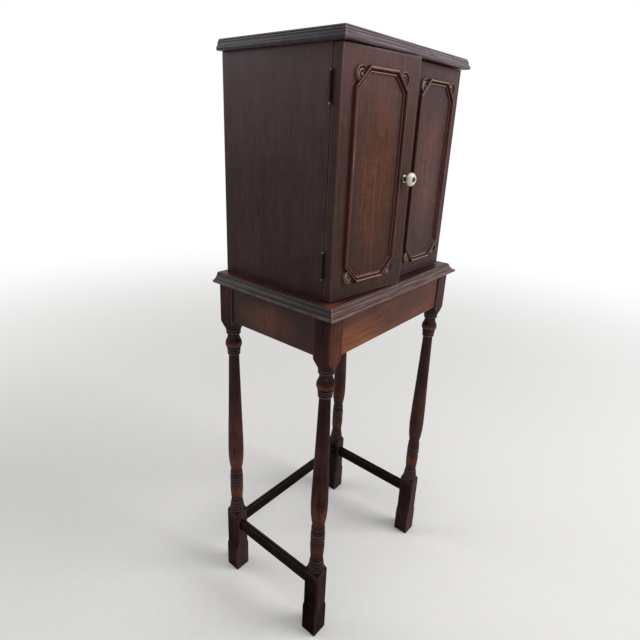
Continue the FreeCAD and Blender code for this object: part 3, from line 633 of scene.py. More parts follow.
class Finish(Enum):
    """Every finish of the cabinet."""

    SIDE_MAHOGANY = Wood(
        Grain.UPRIGHT, base=(60, 41, 42), warm=(66, 44, 42), worn=(98, 76, 74), end=(36, 26, 27),
        haze=(80, 70, 76), ribbon=0.3, warmth=0.15, wear=0.25)
    DOOR_MAHOGANY = Wood(
        Grain.UPRIGHT, base=(70, 48, 43), warm=(96, 55, 38), worn=(112, 84, 76), end=(38, 25, 24),
        contrast=0.26, ribbon=0.3, figure=0.55, ripple=0.45, warmth=0.2, wear=0.25,
        patches=(Patch((-0.1, -0.11, 1.0), (0.06, 0.1, 0.19), 0.75),))
    RIGHT_DOOR_MAHOGANY = replace(
        DOOR_MAHOGANY, base=(65, 46, 45), warm=(100, 64, 55), worn=(112, 86, 80),
        patches=(Patch((0.1, -0.11, 1.01), (0.055, 0.1, 0.14), 0.65),))
    MOULDING_MAHOGANY = Wood(
        Grain.UPRIGHT, base=(60, 31, 27), warm=(84, 44, 33), worn=(122, 62, 46), end=(42, 25, 23),
        grime=(12, 6, 7), wear=0.55, polish=0.2, gloss=0.26, shine=0.15)
    # A lit copy of the moulding for its level lengths, grain across: lighter, with pale worn crests
    # that paint their highlights.
    MOULDING_MAHOGANY_LEVEL = Wood(
        Grain.ACROSS, base=(72, 44, 38), warm=(98, 60, 48), worn=(154, 114, 100),
        end=(46, 27, 24), grime=(12, 6, 7), warmth=0.35, wear=0.75, polish=0.2, gloss=0.28,
        shine=0.25)
    # The pale worn colour paints the rims' highlights as well as their wear.
    CARVED_MAHOGANY = Wood(
        Grain.UPRIGHT, base=(70, 44, 37), warm=(98, 64, 50), worn=(178, 142, 124),
        end=(64, 40, 34), grime=(10, 6, 6), warmth=0.35, wear=1.0, polish=0.25, gloss=0.28)
    # The edge colour is a painted sheen on the moulded edges, and the blue-grey end grain partly
    # paints the shade on the sides.
    CORNICE_MAHOGANY = Wood(
        Grain.ACROSS, base=(70, 54, 55), warm=(76, 56, 54), worn=(150, 134, 136),
        end=(40, 40, 48), edge=(92, 79, 84), contrast=0.22, warmth=0.15, wear=0.5,
        scratches=0.22, polish=0.12, gloss=0.34)
    # The edge colour is a painted sheen on the moulded edges, and the grey end grain partly paints
    # the shade on its sides; the first patch is a painted pool of light at the lit front-left
    # corner.
    STAND_TOP_MAHOGANY = Wood(
        Grain.ACROSS, base=(50, 29, 26), warm=(112, 61, 38), worn=(142, 122, 120),
        end=(29, 28, 31), edge=(82, 61, 58), warmth=0.1, wear=0.55, scratches=0.45, polish=0.12,
        gloss=0.36, patches=(Patch((-0.225, -0.145, 0.8), (0.06, 0.03, 0.1), 0.85),
                             Patch((0.05, -0.15, 0.8), (0.25, 0.012, 0.1), 0.4)))
    APRON_MAHOGANY = Wood(
        Grain.ACROSS, base=(79, 45, 34), warm=(128, 77, 45), worn=(112, 78, 62), end=(42, 26, 23),
        contrast=0.26, ribbon=0.35, figure=0.6, warmth=0.25, wear=0.3, tilt=6.0,
        patches=(Patch((-0.15, -0.13, 0.7), (0.13, 0.1, 0.06), 0.75),))
    # Its patch is a painted pool of light in the middle of the lit side apron.
    SIDE_APRON_MAHOGANY = Wood(
        Grain.UPRIGHT, base=(51, 36, 35), warm=(92, 58, 46), worn=(92, 68, 58), end=(34, 23, 22),
        contrast=0.18, ribbon=0.3, figure=0.2, warmth=0.15, wear=0.3,
        patches=(Patch((-0.22, 0.02, 0.73), (0.1, 0.09, 0.045), 0.7),))
    # The mauve-grey worn colour paints the beads' highlights as well as their wear; the patch paints
    # light on the lit front face of the front-left post.
    LEG_MAHOGANY = Wood(
        Grain.UPRIGHT, base=(41, 22, 23), warm=(104, 58, 37), worn=(132, 108, 104),
        end=(22, 13, 13), haze=(84, 70, 72), contrast=0.6, warmth=0.08, wear=0.58, polish=0.14,
        gloss=0.3, sheen_level=0.0, shine=0.4,
        patches=(Patch((-0.2, -0.142, 0.73), (0.028, 0.008, 0.08), 0.5),))
    STRETCHER_MAHOGANY = Wood(
        Grain.DEEP, base=(21, 13, 15), warm=(36, 22, 21), worn=(98, 68, 65), end=(18, 11, 12),
        grime=(26, 17, 18), warmth=0.18, wear=0.6, gloss=0.34, sheen_level=0.0)
    BACK_STRETCHER_MAHOGANY = replace(STRETCHER_MAHOGANY, grain=Grain.ACROSS)
    BARE_INNER_WOOD = Wood(
        Grain.ACROSS, base=(128, 92, 66), warm=(142, 96, 62), worn=(160, 122, 92),
        end=(98, 68, 48), grime=(52, 34, 26), contrast=0.2, wear=0.4, polish=0.0, gloss=0.62)
    BARE_UPRIGHT_WOOD = Wood(
        Grain.UPRIGHT, base=(98, 67, 49), warm=(112, 72, 46), worn=(140, 104, 78),
        end=(74, 50, 38), grime=(40, 26, 20), contrast=0.25, wear=0.4, polish=0.0, gloss=0.62)
    POLISHED_BRASS = Metal((180, 168, 136), (66, 54, 38), dullness=0.24, gloss=0.22)
    TARNISHED_BRASS = Metal((96, 84, 54), (34, 30, 22), dullness=0.35, gloss=0.3)
    DARK_BRASS = Metal((42, 36, 31), (10, 9, 9), dullness=0.6, gloss=0.36)
    RUBBED_BALL_BRASS = Metal((122, 114, 98), (20, 17, 16), dullness=0.3, gloss=0.26)
    SCREW_STEEL = Metal((150, 148, 144), (62, 54, 48), dullness=0.1, gloss=0.34)
    WHITE_GLAZE = Glaze((224, 219, 212), (206, 200, 193), (150, 138, 120))
    CATCH_PLASTIC = Plastic((64, 42, 30), (104, 80, 62))

    @cache
    def material(self) -> bpy.types.Material:
        """The finish as a material, mixed once."""
        return self.value.material(self.name.lower())


class Crease(Enum):
    """The turn in degrees past which a piece's edges stay crisp."""

    TURNED = 28.0
    FINE = 30.0
    PLANED = 32.0
    RUN = 34.0
    CARVED = 40.0


@dataclass(frozen=True)
class Dressing:
    """What a piece takes: name, the solid it stands for, finish, slot, crisp edges and body."""

    name: str
    node: str
    finish: Finish
    slot: str
    crease: Crease = Crease.PLANED
    body: str = CASE


def dress_solid(node: str, finish: Finish) -> None:
    """Gives a solid that keeps its own shape its finish."""
    slots = frame["nodes"][node].data.materials
    slots.clear()
    slots.append(finish.material())
    log.info("%s: %s", node, finish.material().name)


# Stock on the bench

class Stock:
    """Timber or metal on the bench: a mesh in millimetres that is cut, turned and run."""

    def __init__(self) -> None:
        """Lays an empty mesh on the bench."""
        self.mesh = bmesh.new()
        layers = self.mesh.verts.layers.float
        # The second layer paints light into the colour: higher where a face stands lit, lower where
        # it stands in shade; on the legs it also carries each leg's own darker or lighter tone.
        names = ("wear", "bleach", "rub")
        for name in names:
            layers.new(name)
        self.wear, self.bleach, self.rub = (layers[name] for name in names)

    def fresh(self, before: set[BMVert]) -> list[BMVert]:
        """The vertices that were not there before."""
        return [vert for vert in self.mesh.verts if vert not in before]

    def board(self, low: Vector, high: Vector, arris: float, band: float = 3.0) -> list[BMVert]:
        """A planed board with softened arrises, worn in a band along its edges.

        Args:
            low: Its lowest corner.
            high: Its highest corner.
            arris: How much is taken off each arris.
            band: How far the wear reaches in from an edge.

        Returns:
            The board's vertices.
        """
        before = set(self.mesh.verts)
        cube = bmesh.ops.create_cube(self.mesh, size=1.0)["verts"]
        bmesh.ops.scale(self.mesh, vec=high - low, verts=cube)
        bmesh.ops.translate(self.mesh, vec=(low + high) / 2, verts=cube)
        soft = set(bmesh.ops.bevel(
            self.mesh, geom=edges_at(cube), offset=arris, offset_type="OFFSET", segments=3,
            profile=0.5, affect="EDGES", material=-1, clamp_overlap=True)["faces"])
        for face in soft:
            face.smooth = True
        board = self.fresh(before)
        for vert in board:
            vert[self.wear] = 1.0
        flats = [face for face in faces_at(board) if face not in soft]
        bmesh.ops.inset_individual(
            self.mesh, faces=flats, thickness=min(band, 0.3 * min(high - low)), depth=0.0,
            use_even_offset=True)
        for face in flats:
            for vert in face.verts:
                vert[self.wear] = 0.0
        return self.fresh(before)

    def turn(self, profile: Profile, steps: int, place: Matrix | None = None) -> list[BMVert]:
        """A piece turned about the upright axis from a profile of (radius, height) points.

        Args:
            profile: The profile, from the bottom up.
            steps: Flats round the axis.
            place: Where the turned piece goes, if not upright at the origin.

        Returns:
            The piece's vertices.
        """
        before = set(self.mesh.verts)
        verts = []
        for (radius, height), worn in zip(profile.points, profile.standing()):
            vert = self.mesh.verts.new((radius, 0.0, height))
            vert[self.wear] = worn
            verts.append(vert)
        edges = [self.mesh.edges.new(pair) for pair in zip(verts, verts[1:])]
        bmesh.ops.spin(self.mesh, geom=[*verts, *edges], cent=(0, 0, 0), axis=(0, 0, 1),
                       angle=math.tau, steps=steps, use_merge=True, use_duplicate=False)
        bmesh.ops.remove_doubles(self.mesh, verts=self.fresh(before), dist=1e-4)
        made = self.fresh(before)
        self.smooth(made)
        if place is not None:
            bmesh.ops.transform(self.mesh, matrix=place, verts=made)
        return made

    def run(self, profile: Profile, stations: Sequence[Place], closed: bool) -> list[list[BMVert]]:
        """A moulding run from station to station, mitred where the stations say.

        Args:
            profile: The section, as (out, along) points.
            stations: For each stop, where a point of the section lies there.
            closed: True where the section's last point joins its first.

        Returns:
            The vertices of each stop, in the section's order.
        """
        ring = []
        for (out, along), worn in zip(profile.points, profile.standing(closed)):
            vert = self.mesh.verts.new(stations[0](out, along))
            vert[self.wear] = worn
            ring.append(vert)
        pairs = list(zip(ring, ring[1:])) + ([(ring[-1], ring[0])] if closed else [])
        edges = [self.mesh.edges.new(pair) for pair in pairs]
        rings = [ring]
        for station in stations[1:]:
            grown = bmesh.ops.extrude_edge_only(self.mesh, edges=edges)["geom"]
            fresh = {item for item in grown if isinstance(item, BMVert)}
            edges = [item for item in grown if isinstance(item, BMEdge)
                     and item.verts[0] in fresh and item.verts[1] in fresh]
            ring = [next(edge.other_vert(vert) for edge in vert.link_edges
                         if edge.other_vert(vert) in fresh) for vert in rings[-1]]
            for vert, (out, along) in zip(ring, profile.points):
                vert.co = station(out, along)
            rings.append(ring)
        if closed:
            self.cap(rings[0])
            self.cap(rings[-1])
        return rings

    def cap(self, ring: Sequence[BMVert]) -> BMFace:
        """A flat face over a ring of vertices."""
        return bmesh.ops.contextual_create(self.mesh, geom=list(ring))["faces"][0]

    def cut(self, verts: Sequence[BMVert], point: Vector, out: Vector) -> None:
        """Cuts a piece through, keeps what lies outwards and closes the cut.

        Args:
            verts: The piece's vertices.
            point: A point of the cut.
            out: The way that the kept part lies.
        """
        rim = bmesh.ops.bisect_plane(
            self.mesh, geom=[*verts, *edges_at(verts), *faces_at(verts)], dist=TOLERANCE,
            plane_co=point, plane_no=out, clear_inner=True)["geom_cut"]
        bmesh.ops.edgeloop_fill(self.mesh, edges=[i for i in rim if isinstance(i, BMEdge)])

    def smooth(self, verts: Sequence[BMVert] | None = None) -> None:
        """Turns the faces of these vertices, or all, outwards and shades them as curves."""
        faces = faces_at(self.mesh.verts if verts is None else verts)
        bmesh.ops.recalc_face_normals(self.mesh, faces=faces)
        for face in faces:
            face.smooth = True

    def move(self, place: Matrix, verts: Sequence[BMVert] | None = None) -> "Stock":
        """Moves vertices, or the whole stock, and keeps the outside out if it is mirrored."""
        chosen = list(self.mesh.verts) if verts is None else verts
        bmesh.ops.transform(self.mesh, matrix=place, verts=chosen)
        if place.determinant() < 0:
            bmesh.ops.reverse_faces(self.mesh, faces=faces_at(chosen))
        return self

    def finish(self, dress: Dressing) -> None:
        """Takes the piece off the bench: scaled to metres, dressed and set on its body.

        Args:
            dress: Its name, finish, slot, crisp edges, body and the solid that it stands for.
        """
        bmesh.ops.scale(self.mesh, vec=(MM, MM, MM), verts=self.mesh.verts)
        mesh = bpy.data.meshes.new(dress.name)
        self.mesh.to_mesh(mesh)
        self.mesh.free()
        mesh.set_sharp_from_angle(angle=math.radians(dress.crease.value))
        facing = mesh.attributes.new("facing", "FLOAT_VECTOR", "CORNER")
        facing.data.foreach_set("vector", [
            part for corner in mesh.corner_normals for part in corner.vector])
        mesh.materials.append(dress.finish.material())
        made = bpy.data.objects.new(dress.name, mesh)
        bpy.context.scene.collection.objects.link(made)
        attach(made, dress.body)
        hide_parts(dress.node)
        log.info("%s: %d faces, %s", dress.name, len(mesh.polygons), dress.slot)


def moulded_board(profile: Profile, half: float, front: float, dress: Dressing) -> None:
    """A board with its edge moulding run round the left side, the front and the right side.

    Args:
        profile: The edge as (overhang, height) points.
        half: Half the width that the overhang is measured from.
        front: The front line that it is measured from.
        dress: The board's name, finish and the solid that it stands for.
    """
    back = in_mm(dress.node)[1].y
    stock = Stock()
    stops = [(-1, 0.0, back - front)]
    for way in (-1, 1):
        near = [(way, 0.0, CORNER_BAND), (way, 0.0, 0.0), (way, CORNER_BAND, 0.0)]
        stops.extend(near[::-way])
    stops.append((1, 0.0, back - front))
    rings = stock.run(profile, [
        lambda o, z, way=way, aside=aside, behind=behind: Vector((
            way * (half + o - aside), back if behind > CORNER_BAND else front - o + behind, z))
        for way, aside, behind in stops], closed=False)
    for (_, aside, behind), ring in zip(stops, rings):
        # Wear and a painted highlight along the front corners' arrises.
        if aside == behind == 0.0:
            for vert in ring:
                vert[stock.wear] = max(vert[stock.wear], CORNER_WEAR_AND_HIGHLIGHT)
    top = stock.cap([ring[-1] for ring in rings])
    stock.cap([ring[0] for ring in rings])
    stock.cap([*rings[0], *rings[-1][::-1]])
    bmesh.ops.inset_individual(stock.mesh, faces=[top], thickness=TOP_BAND, depth=0.0,
                               use_even_offset=True)
    for vert in top.verts:
        vert[stock.wear] = 0.0
    stock.smooth()
    stock.finish(dress)


def slotted_screw(stock: Stock, place: Matrix, radius: float, turn: float, rise: float) -> None:
    """A slotted screw head that stands a little proud of a face.

    Args:
        stock: The stock that it is made on.
        place: Where its axis meets the face, with Z outwards.
        radius: Radius of its head.
        turn: How far round its slot stands, in degrees.
        rise: How far the middle of its head stands proud.
    """
    slot, floor, sunk, edge = 0.16 * radius, 0.97 * radius, -0.6, 0.02
    place = place @ Matrix.Rotation(math.radians(turn), 4, "Z")
    stock.turn(Profile(0.0, sunk).line((floor, sunk), (floor, 0.0), (0.0, 0.0)), 20, place)
    head = Profile(0.0, sunk + 0.1).line((radius, sunk + 0.1), (radius, edge))
    head.swell((0.0, rise), 2 * edge, 5)
    for way in (-1, 1):
        verts = stock.turn(head, 24)
        before = set(stock.mesh.verts) - set(verts)
        stock.cut(verts, Vector((way * slot, 0.0, 0.0)), Vector((way, 0.0, 0.0)))
        half = stock.fresh(before)
        stock.smooth(half)
        stock.move(place, half)


# Stand

@dataclass
class Leg:
    """One leg from its square post to its chamfered foot, turned between them."""

    centre: Vector
    lightening: float
    half: float = 19.0
    top: float = 780.5
    foot_top: float = 182.0
    foot_rim_drop: float = 8.0
    post_bottom: float = 676.0
    post_rim_rise: float = 18.5
    neck: float = 16.9
    arris: float = 0.9
    sole_arris: float = 0.7
    foot_chamfer: float = 5.0
    chamfer_start: float = 69.0
    chamfer_full: float = 77.0
    neck_start: float = 305.0
    steps: int = 64
    arris_wear: float = 0.32
    shoulder_wear: float = 0.3
    bead_wear_and_highlight: float = 1.6
    front_painted_light: float = 0.4
    rubbed: tuple[Triple, ...] = (
        (240.0, 24.0, 0.55), (334.0, 40.0, 0.5), (410.0, 110.0, 0.28), (637.0, 9.0, 0.75))

    def turning(self) -> Profile:
        """The turned length, from the foot's shoulder to the post's, as (radius, height)."""
        return (
            Profile(self.half - 0.1, self.foot_top)
            .swell((17.6, 187.4), 0.4, 6).line((16.5, 188.0))
            .bead((15.9, 195.6), 1.0, 9).line((15.3, 196.2))
            .bead((14.9, 203.2), 0.95, 9).line((14.4, 203.8))
            .bead((13.9, 210.4), 0.8, 8).line((13.2, 211.0))
            .swell((15.6, 248.0), 0.3, 14)
            .swell((14.9, 260.2), 0.2, 6).line((14.3, 260.8))
            .bead((14.8, 267.6), 1.0, 9).line((14.4, 268.0))
            .bead((14.9, 275.0), 1.05, 9).line((14.5, 275.4))
            .bead((14.8, 282.2), 1.0, 9).line((14.1, 282.8))
            .bead((14.3, 291.4), 0.75, 9).line((13.9, 292.0))
            .bead((13.9, 299.6), 0.8, 9).line((13.4, 300.2))
            .swell((13.2, 305.6), -0.15, 5)
            .swell((17.6, 342.0), 0.8, 14)
            .swell((18.0, 366.0), 0.2, 8)
            .swell((15.6, 456.0), 0.25, 14)
            .swell((11.5, 612.6), -0.1, 22).line((11.6, 613.6), (12.9, 614.0))
            .bead((13.2, 619.0), 1.3, 8).line((12.9, 619.3))
            .bead((13.8, 624.6), 1.3, 8).line((13.5, 624.9))
            .bead((14.4, 630.3), 1.3, 8).line((14.5, 630.9))
            .swell((18.0, 638.0), 0.8, 10)
            .swell((15.4, 650.6), 0.9, 10)
            .swell((12.9, 660.4), -0.6, 8).line((12.9, 663.8), (14.8, 664.2))
            .bead((15.0, 669.4), 1.2, 9).line((14.7, 669.7))
            .bead((15.3, 674.8), 1.2, 9).line((15.5, 675.3), (self.neck, 675.6))
            .line((self.neck, self.post_bottom))
        )

    def outline(self) -> Profile:
        """The whole leg as turned from a round blank, its square lengths still too wide."""
        blank = 2 * self.half
        rise = self.chamfer_full - self.chamfer_start
        foot = [0.0, 0.9, 20.0, 45.0, *(self.chamfer_start + rise * n / 6 for n in range(7)),
                100.0, 130.0, 155.0, self.foot_top - self.foot_rim_drop]
        post = [self.post_bottom + self.post_rim_rise, 710.0, 730.0, 750.0, 765.0,
                self.top - 0.8, self.top]
        drawn = Profile(0.0, 0.0).line(*((blank, height) for height in foot))
        drawn.line((self.half, self.foot_top - 0.01), *self.turning().points)
        return drawn.line(*((blank, height) for height in post), (0.0, self.top))

    def squared(self, vert: BMVert) -> None:
        """Planes one vertex of the blank down to the square, its arrises and its shoulders.

        Args:
            vert: The vertex.
        """
        x, y, z = vert.co
        if math.hypot(x, y) < self.half + 0.5:
            return
        angle = math.atan2(y, x)
        quarter = self.steps // 4
        from_corner = round((angle - math.pi / 4) / (math.tau / self.steps)) % quarter
        from_corner = min(from_corner, quarter - from_corner)
        arris = self.arris_at(z)
        side = self.half - (self.sole_arris if z < 0.5 else 0.0)
        if from_corner == 0:
            reach = (2 * side - arris * 0.8) * SLANT
            flat = Vector((math.cos(angle), math.sin(angle))) * reach
        elif from_corner == 1:
            ends = (side, side - arris) if abs(x) > abs(y) else (side - arris, side)
            flat = Vector((math.copysign(ends[0], x), math.copysign(ends[1], y)))
        else:
            flat = Vector((x, y)) * side / max(abs(x), abs(y))
        vert.co.x, vert.co.y = flat
        corner = side / SLANT
        if abs(z - self.foot_top + self.foot_rim_drop) < 0.1:
            share = (flat.length - self.half) / (corner - self.half)
            vert.co.z = self.foot_top - self.foot_rim_drop * max(0.0, share)
        if abs(z - self.post_bottom - self.post_rim_rise) < 0.1:
            share = (flat.length - self.neck) / (corner - self.neck)
            vert.co.z = self.post_bottom + self.post_rim_rise * share ** 0.9

    def arris_at(self, height: float) -> float:
        """How wide the arris is planed off at a height."""
        if height > self.foot_top:
            return self.arris
        share = (height - self.chamfer_start) / (self.chamfer_full - self.chamfer_start)
        share = max(0.0, min(1.0, share))
        return self.arris + (self.foot_chamfer - self.arris) * share * share * (3 - 2 * share)

    def aged(self, stock: Stock, vert: BMVert) -> None:
        """Notes on a vertex how worn the leg is, how much it is rubbed through, and how much light
        or shade is painted on it there.

        Args:
            stock: The stock that the leg is made on.
            vert: The vertex.
        """
        x, y, z = abs(vert.co.x), abs(vert.co.y), vert.co.z
        foot_end = self.foot_top - self.foot_rim_drop - 0.5
        if not foot_end < z < self.post_bottom + 3:
            near = min(x, y) / max(x, y, 1e-6)
            on_face = max(x, y) > self.half / 2
            vert[stock.wear] = max(0.0, (near - 0.86) / 0.14) * self.arris_wear if on_face else 0.0
        if abs(z - self.foot_top) < self.foot_rim_drop + 0.6:
            vert[stock.wear] = min(self.shoulder_wear, vert[stock.wear])
        if self.foot_top + 3 < z < self.neck_start:
            # Painted highlights: the beads' crests on the turned length are made lighter than their
            # wear alone.
            vert[stock.wear] = min(1.0, vert[stock.wear] * self.bead_wear_and_highlight)
        # Painted light: the front faces of the post and foot are made lighter, as they stand lit.
        lift = self.front_painted_light if vert.co.y < 1.5 - self.half else 0.0
        # The foot is made darker and the post and turned length lighter, each leg by its own
        # lightening.
        if z <= foot_end:
            vert[stock.bleach] = self.lightening - 0.95 + 1.6 * lift
        elif z < self.post_bottom:
            vert[stock.bleach] = 0.5 * self.lightening - 0.1
        else:
            vert[stock.bleach] = 0.5 * self.lightening - 0.2 + 0.6 * lift
        vert[stock.rub] = max(share * max(0.0, 1 - ((z - middle) / reach) ** 2)
                              for middle, reach, share in self.rubbed)

    def make(self, dress: Dressing) -> None:
        """Turns the leg and planes its square lengths.

        Args:
            dress: Its name, finish and the solid that it stands for.
        """
        stock = Stock()
        verts = stock.turn(self.outline(), self.steps)
        for vert in verts:
            self.squared(vert)
            self.aged(stock, vert)
        stock.smooth(verts)
        stock.move(Matrix.Translation((self.centre.x, self.centre.y, 0.0))).finish(dress)


@dataclass
class Stand:
    """The stand: moulded top, four aprons, four legs and three beaded stretchers."""

    arris: float = 0.8
    lip: float = 14.0
    stretcher_plain: float = 21.0
    stretcher_half: float = 8.0
    tenon: float = 10.8
    front_left_lightening: float = 0.0
    lightening: float = 0.5

    def top_profile(self, bottom: float, top: float) -> Profile:
        """Edge of the stand top: bead at the lip, fillet, wide hollow and a small square arris.

        Args:
            bottom: Height of its underside.
            top: Height of its upper side.

        Returns:
            The profile as (overhang, height) points.
        """
        lip = self.lip
        return (
            Profile(0.0, bottom)
            .line((lip - 3.4, bottom), (lip - 2.8, bottom + 0.15))
            .arc((lip, bottom + 3.2), (lip - 3.0, bottom + 6.3), 10)
            .line((lip - 3.9, bottom + 6.5), (lip - 4.3, bottom + 6.9))
            .arc((5.2, bottom + 10.6), (1.5, top - 2.3), 12)
            .line((1.3, top - 2.0), (0.25, top - 1.9), (0.0, top - 1.6))
            .arc((-0.1, top - 0.35), (-0.7, top), 4)
        )

    def stretcher_profile(self, bottom: float, top: float) -> Profile:
        """Section of a stretcher: plain faces, a rounded step each side and a bead on top.

        Args:
            bottom: Height of its underside.
            top: Height of its top.

        Returns:
            The section as (height, across) points.
        """
        half, step = self.stretcher_half, bottom + self.stretcher_plain
        quirk = (step + top) / 2 - 0.3
        return (
            Profile(bottom, -half)
            .line((bottom + 2.5, -half), (step - 3.0, -half))
            .line((step - 0.4, -half), (step, -half + 0.3))
            .swell((quirk, -half / 2 - 0.4), 1.3, 6).line((quirk - 0.5, -half / 2))
            .bead((quirk - 0.5, half / 2), top - quirk + 0.5, 14).line((quirk, half / 2 + 0.4))
            .swell((step, half - 0.3), 1.3, 6).line((step - 0.4, half), (step - 3.0, half))
            .line((bottom + 2.5, half), (bottom, half))
        )

    def stretcher(self, dress: Dressing) -> None:
        """One stretcher between the foot blocks.

        Args:
            dress: Its name, finish and the solid that it stands for.
        """
        low, high = in_mm(dress.node)
        middle = (low + high) / 2
        along = 0 if high.x - low.x > high.y - low.y else 1
        stations = []
        for end in (low[along] + self.tenon, high[along] - self.tenon):
            stations.append(
                (lambda h, c, end=end: Vector((middle.x + c, end, h))) if along else
                (lambda h, c, end=end: Vector((end, middle.y + c, h))))
        stock = Stock()
        stock.run(self.stretcher_profile(low.z, high.z), stations, closed=True)
        stock.smooth()
        stock.finish(dress)

    def make(self) -> None:
        """Makes the whole stand."""
        low, high = in_mm("stand_top")
        moulded_board(
            self.top_profile(low.z, high.z), high.x - self.lip, low.y + self.lip,
            Dressing("stand_top_board", "stand_top", Finish.STAND_TOP_MAHOGANY,
                     "stand_mahogany", Crease.FINE))
        for side in ("front", "back", "left", "right"):
            node = "apron_" + side
            finish = Finish.SIDE_APRON_MAHOGANY
            if side in ("front", "back"):
                finish = Finish.APRON_MAHOGANY
            stock = Stock()
            stock.board(*in_mm(node), self.arris)
            stock.finish(Dressing(side + "_apron", node, finish, "stand_mahogany"))
        for place in ("front_left", "front_right", "back_left", "back_right"):
            node = "leg_" + place
            low, high = in_mm(node)
            lightening = self.front_left_lightening if place == "front_left" else self.lightening
            Leg((low + high) / 2, lightening).make(Dressing(
                "turned_leg_" + place, node, Finish.LEG_MAHOGANY, "leg_mahogany", Crease.TURNED))
        for side, finish in (("left", Finish.STRETCHER_MAHOGANY),
                             ("right", Finish.STRETCHER_MAHOGANY),
                             ("back", Finish.BACK_STRETCHER_MAHOGANY)):
            self.stretcher(Dressing(side + "_stretcher", "stretcher_" + side, finish,
                                    "leg_mahogany", Crease.RUN))


# Carcass

@dataclass
class Carcass:
    """The upper cabinet without its doors: sides, boards, shelves, back and cornice."""

    arris: float = 0.8
    side_bleach: Pair = (-0.6, 0.5)

    def cornice_profile(self, bottom: float, top: float) -> Profile:
        """Edge of the cornice: half-round lip, slope, and two reeds below the top.

        Args:
            bottom: Height of its underside.
            top: Height of its upper side.

        Returns:
            The profile as (overhang, height) points.
        """
        return (
            Profile(0.0, bottom)
            .line((10.6, bottom), (11.2, bottom + 0.2))
            .arc((13.5, bottom + 3.4), (12.7, bottom + 6.2), 9)
            .line((12.3, bottom + 6.5), (11.6, bottom + 6.8))
            .swell((9.9, bottom + 12.8), -0.3, 7).line((9.2, bottom + 13.1))
            .bead((7.9, bottom + 16.3), 0.9, 8).line((7.4, bottom + 16.6))
            .bead((6.1, bottom + 19.6), 0.9, 8).line((5.6, top - 0.2), (5.2, top))
        )

    def make(self) -> None:
        """Makes the carcass."""
        for node, name, finish, slot in (
            ("side_left", "side_panel_left", Finish.SIDE_MAHOGANY, "case_mahogany"),
            ("side_right", "side_panel_right", Finish.SIDE_MAHOGANY, "case_mahogany"),
            ("cabinet_bottom", "cabinet_bottom_board", Finish.BARE_INNER_WOOD, "inner_wood"),
            ("inner_top", "inner_top_board", Finish.BARE_INNER_WOOD, "inner_wood"),
            ("back_panel", "back_board", Finish.BARE_UPRIGHT_WOOD, "inner_wood"),
            ("shelf_lower", "lower_shelf", Finish.BARE_INNER_WOOD, "inner_wood"),
            ("shelf_upper", "upper_shelf", Finish.BARE_INNER_WOOD, "inner_wood"),
        ):
            low, high = in_mm(node)
            foot, head = self.side_bleach if finish is Finish.SIDE_MAHOGANY else (0.0, 0.0)
            stock = Stock()
            for vert in stock.board(low, high, self.arris):
                # Painted light: the side panels are made darker towards the bottom and lighter and
                # hazier towards the top.
                vert[stock.bleach] = foot + (head - foot) * (vert.co.z - low.z) / (high - low).z
            stock.finish(Dressing(name, node, finish, slot))
        low, high = in_mm("cornice")
        moulded_board(
            self.cornice_profile(low.z, high.z), CASE_HALF, low.y + high.x - CASE_HALF,
            Dressing("cornice_board", "cornice", Finish.CORNICE_MAHOGANY, "case_mahogany",
                     Crease.FINE))
        for finish, nodes in (
            (Finish.BARE_INNER_WOOD, ("glue_blocks", "shelf_cleats")),
            (Finish.SCREW_STEEL, ("holding_screws", "cornice_screws", "back_screws")),
            (Finish.CATCH_PLASTIC, ("catch_blocks",)),
        ):
            for node in nodes:
                dress_solid(node, finish)


# Doors

class Side(Enum):
    """The two sides of the cabinet, as the sign of X."""

    LEFT = -1
    RIGHT = 1

    @property
    def word(self) -> str:
        """Left or right."""
        return self.name.lower()

    @property
    def mirror(self) -> Matrix:
        """Takes a piece from the right side to this one."""
        return Matrix.Scale(self.value, 4, (1, 0, 0))


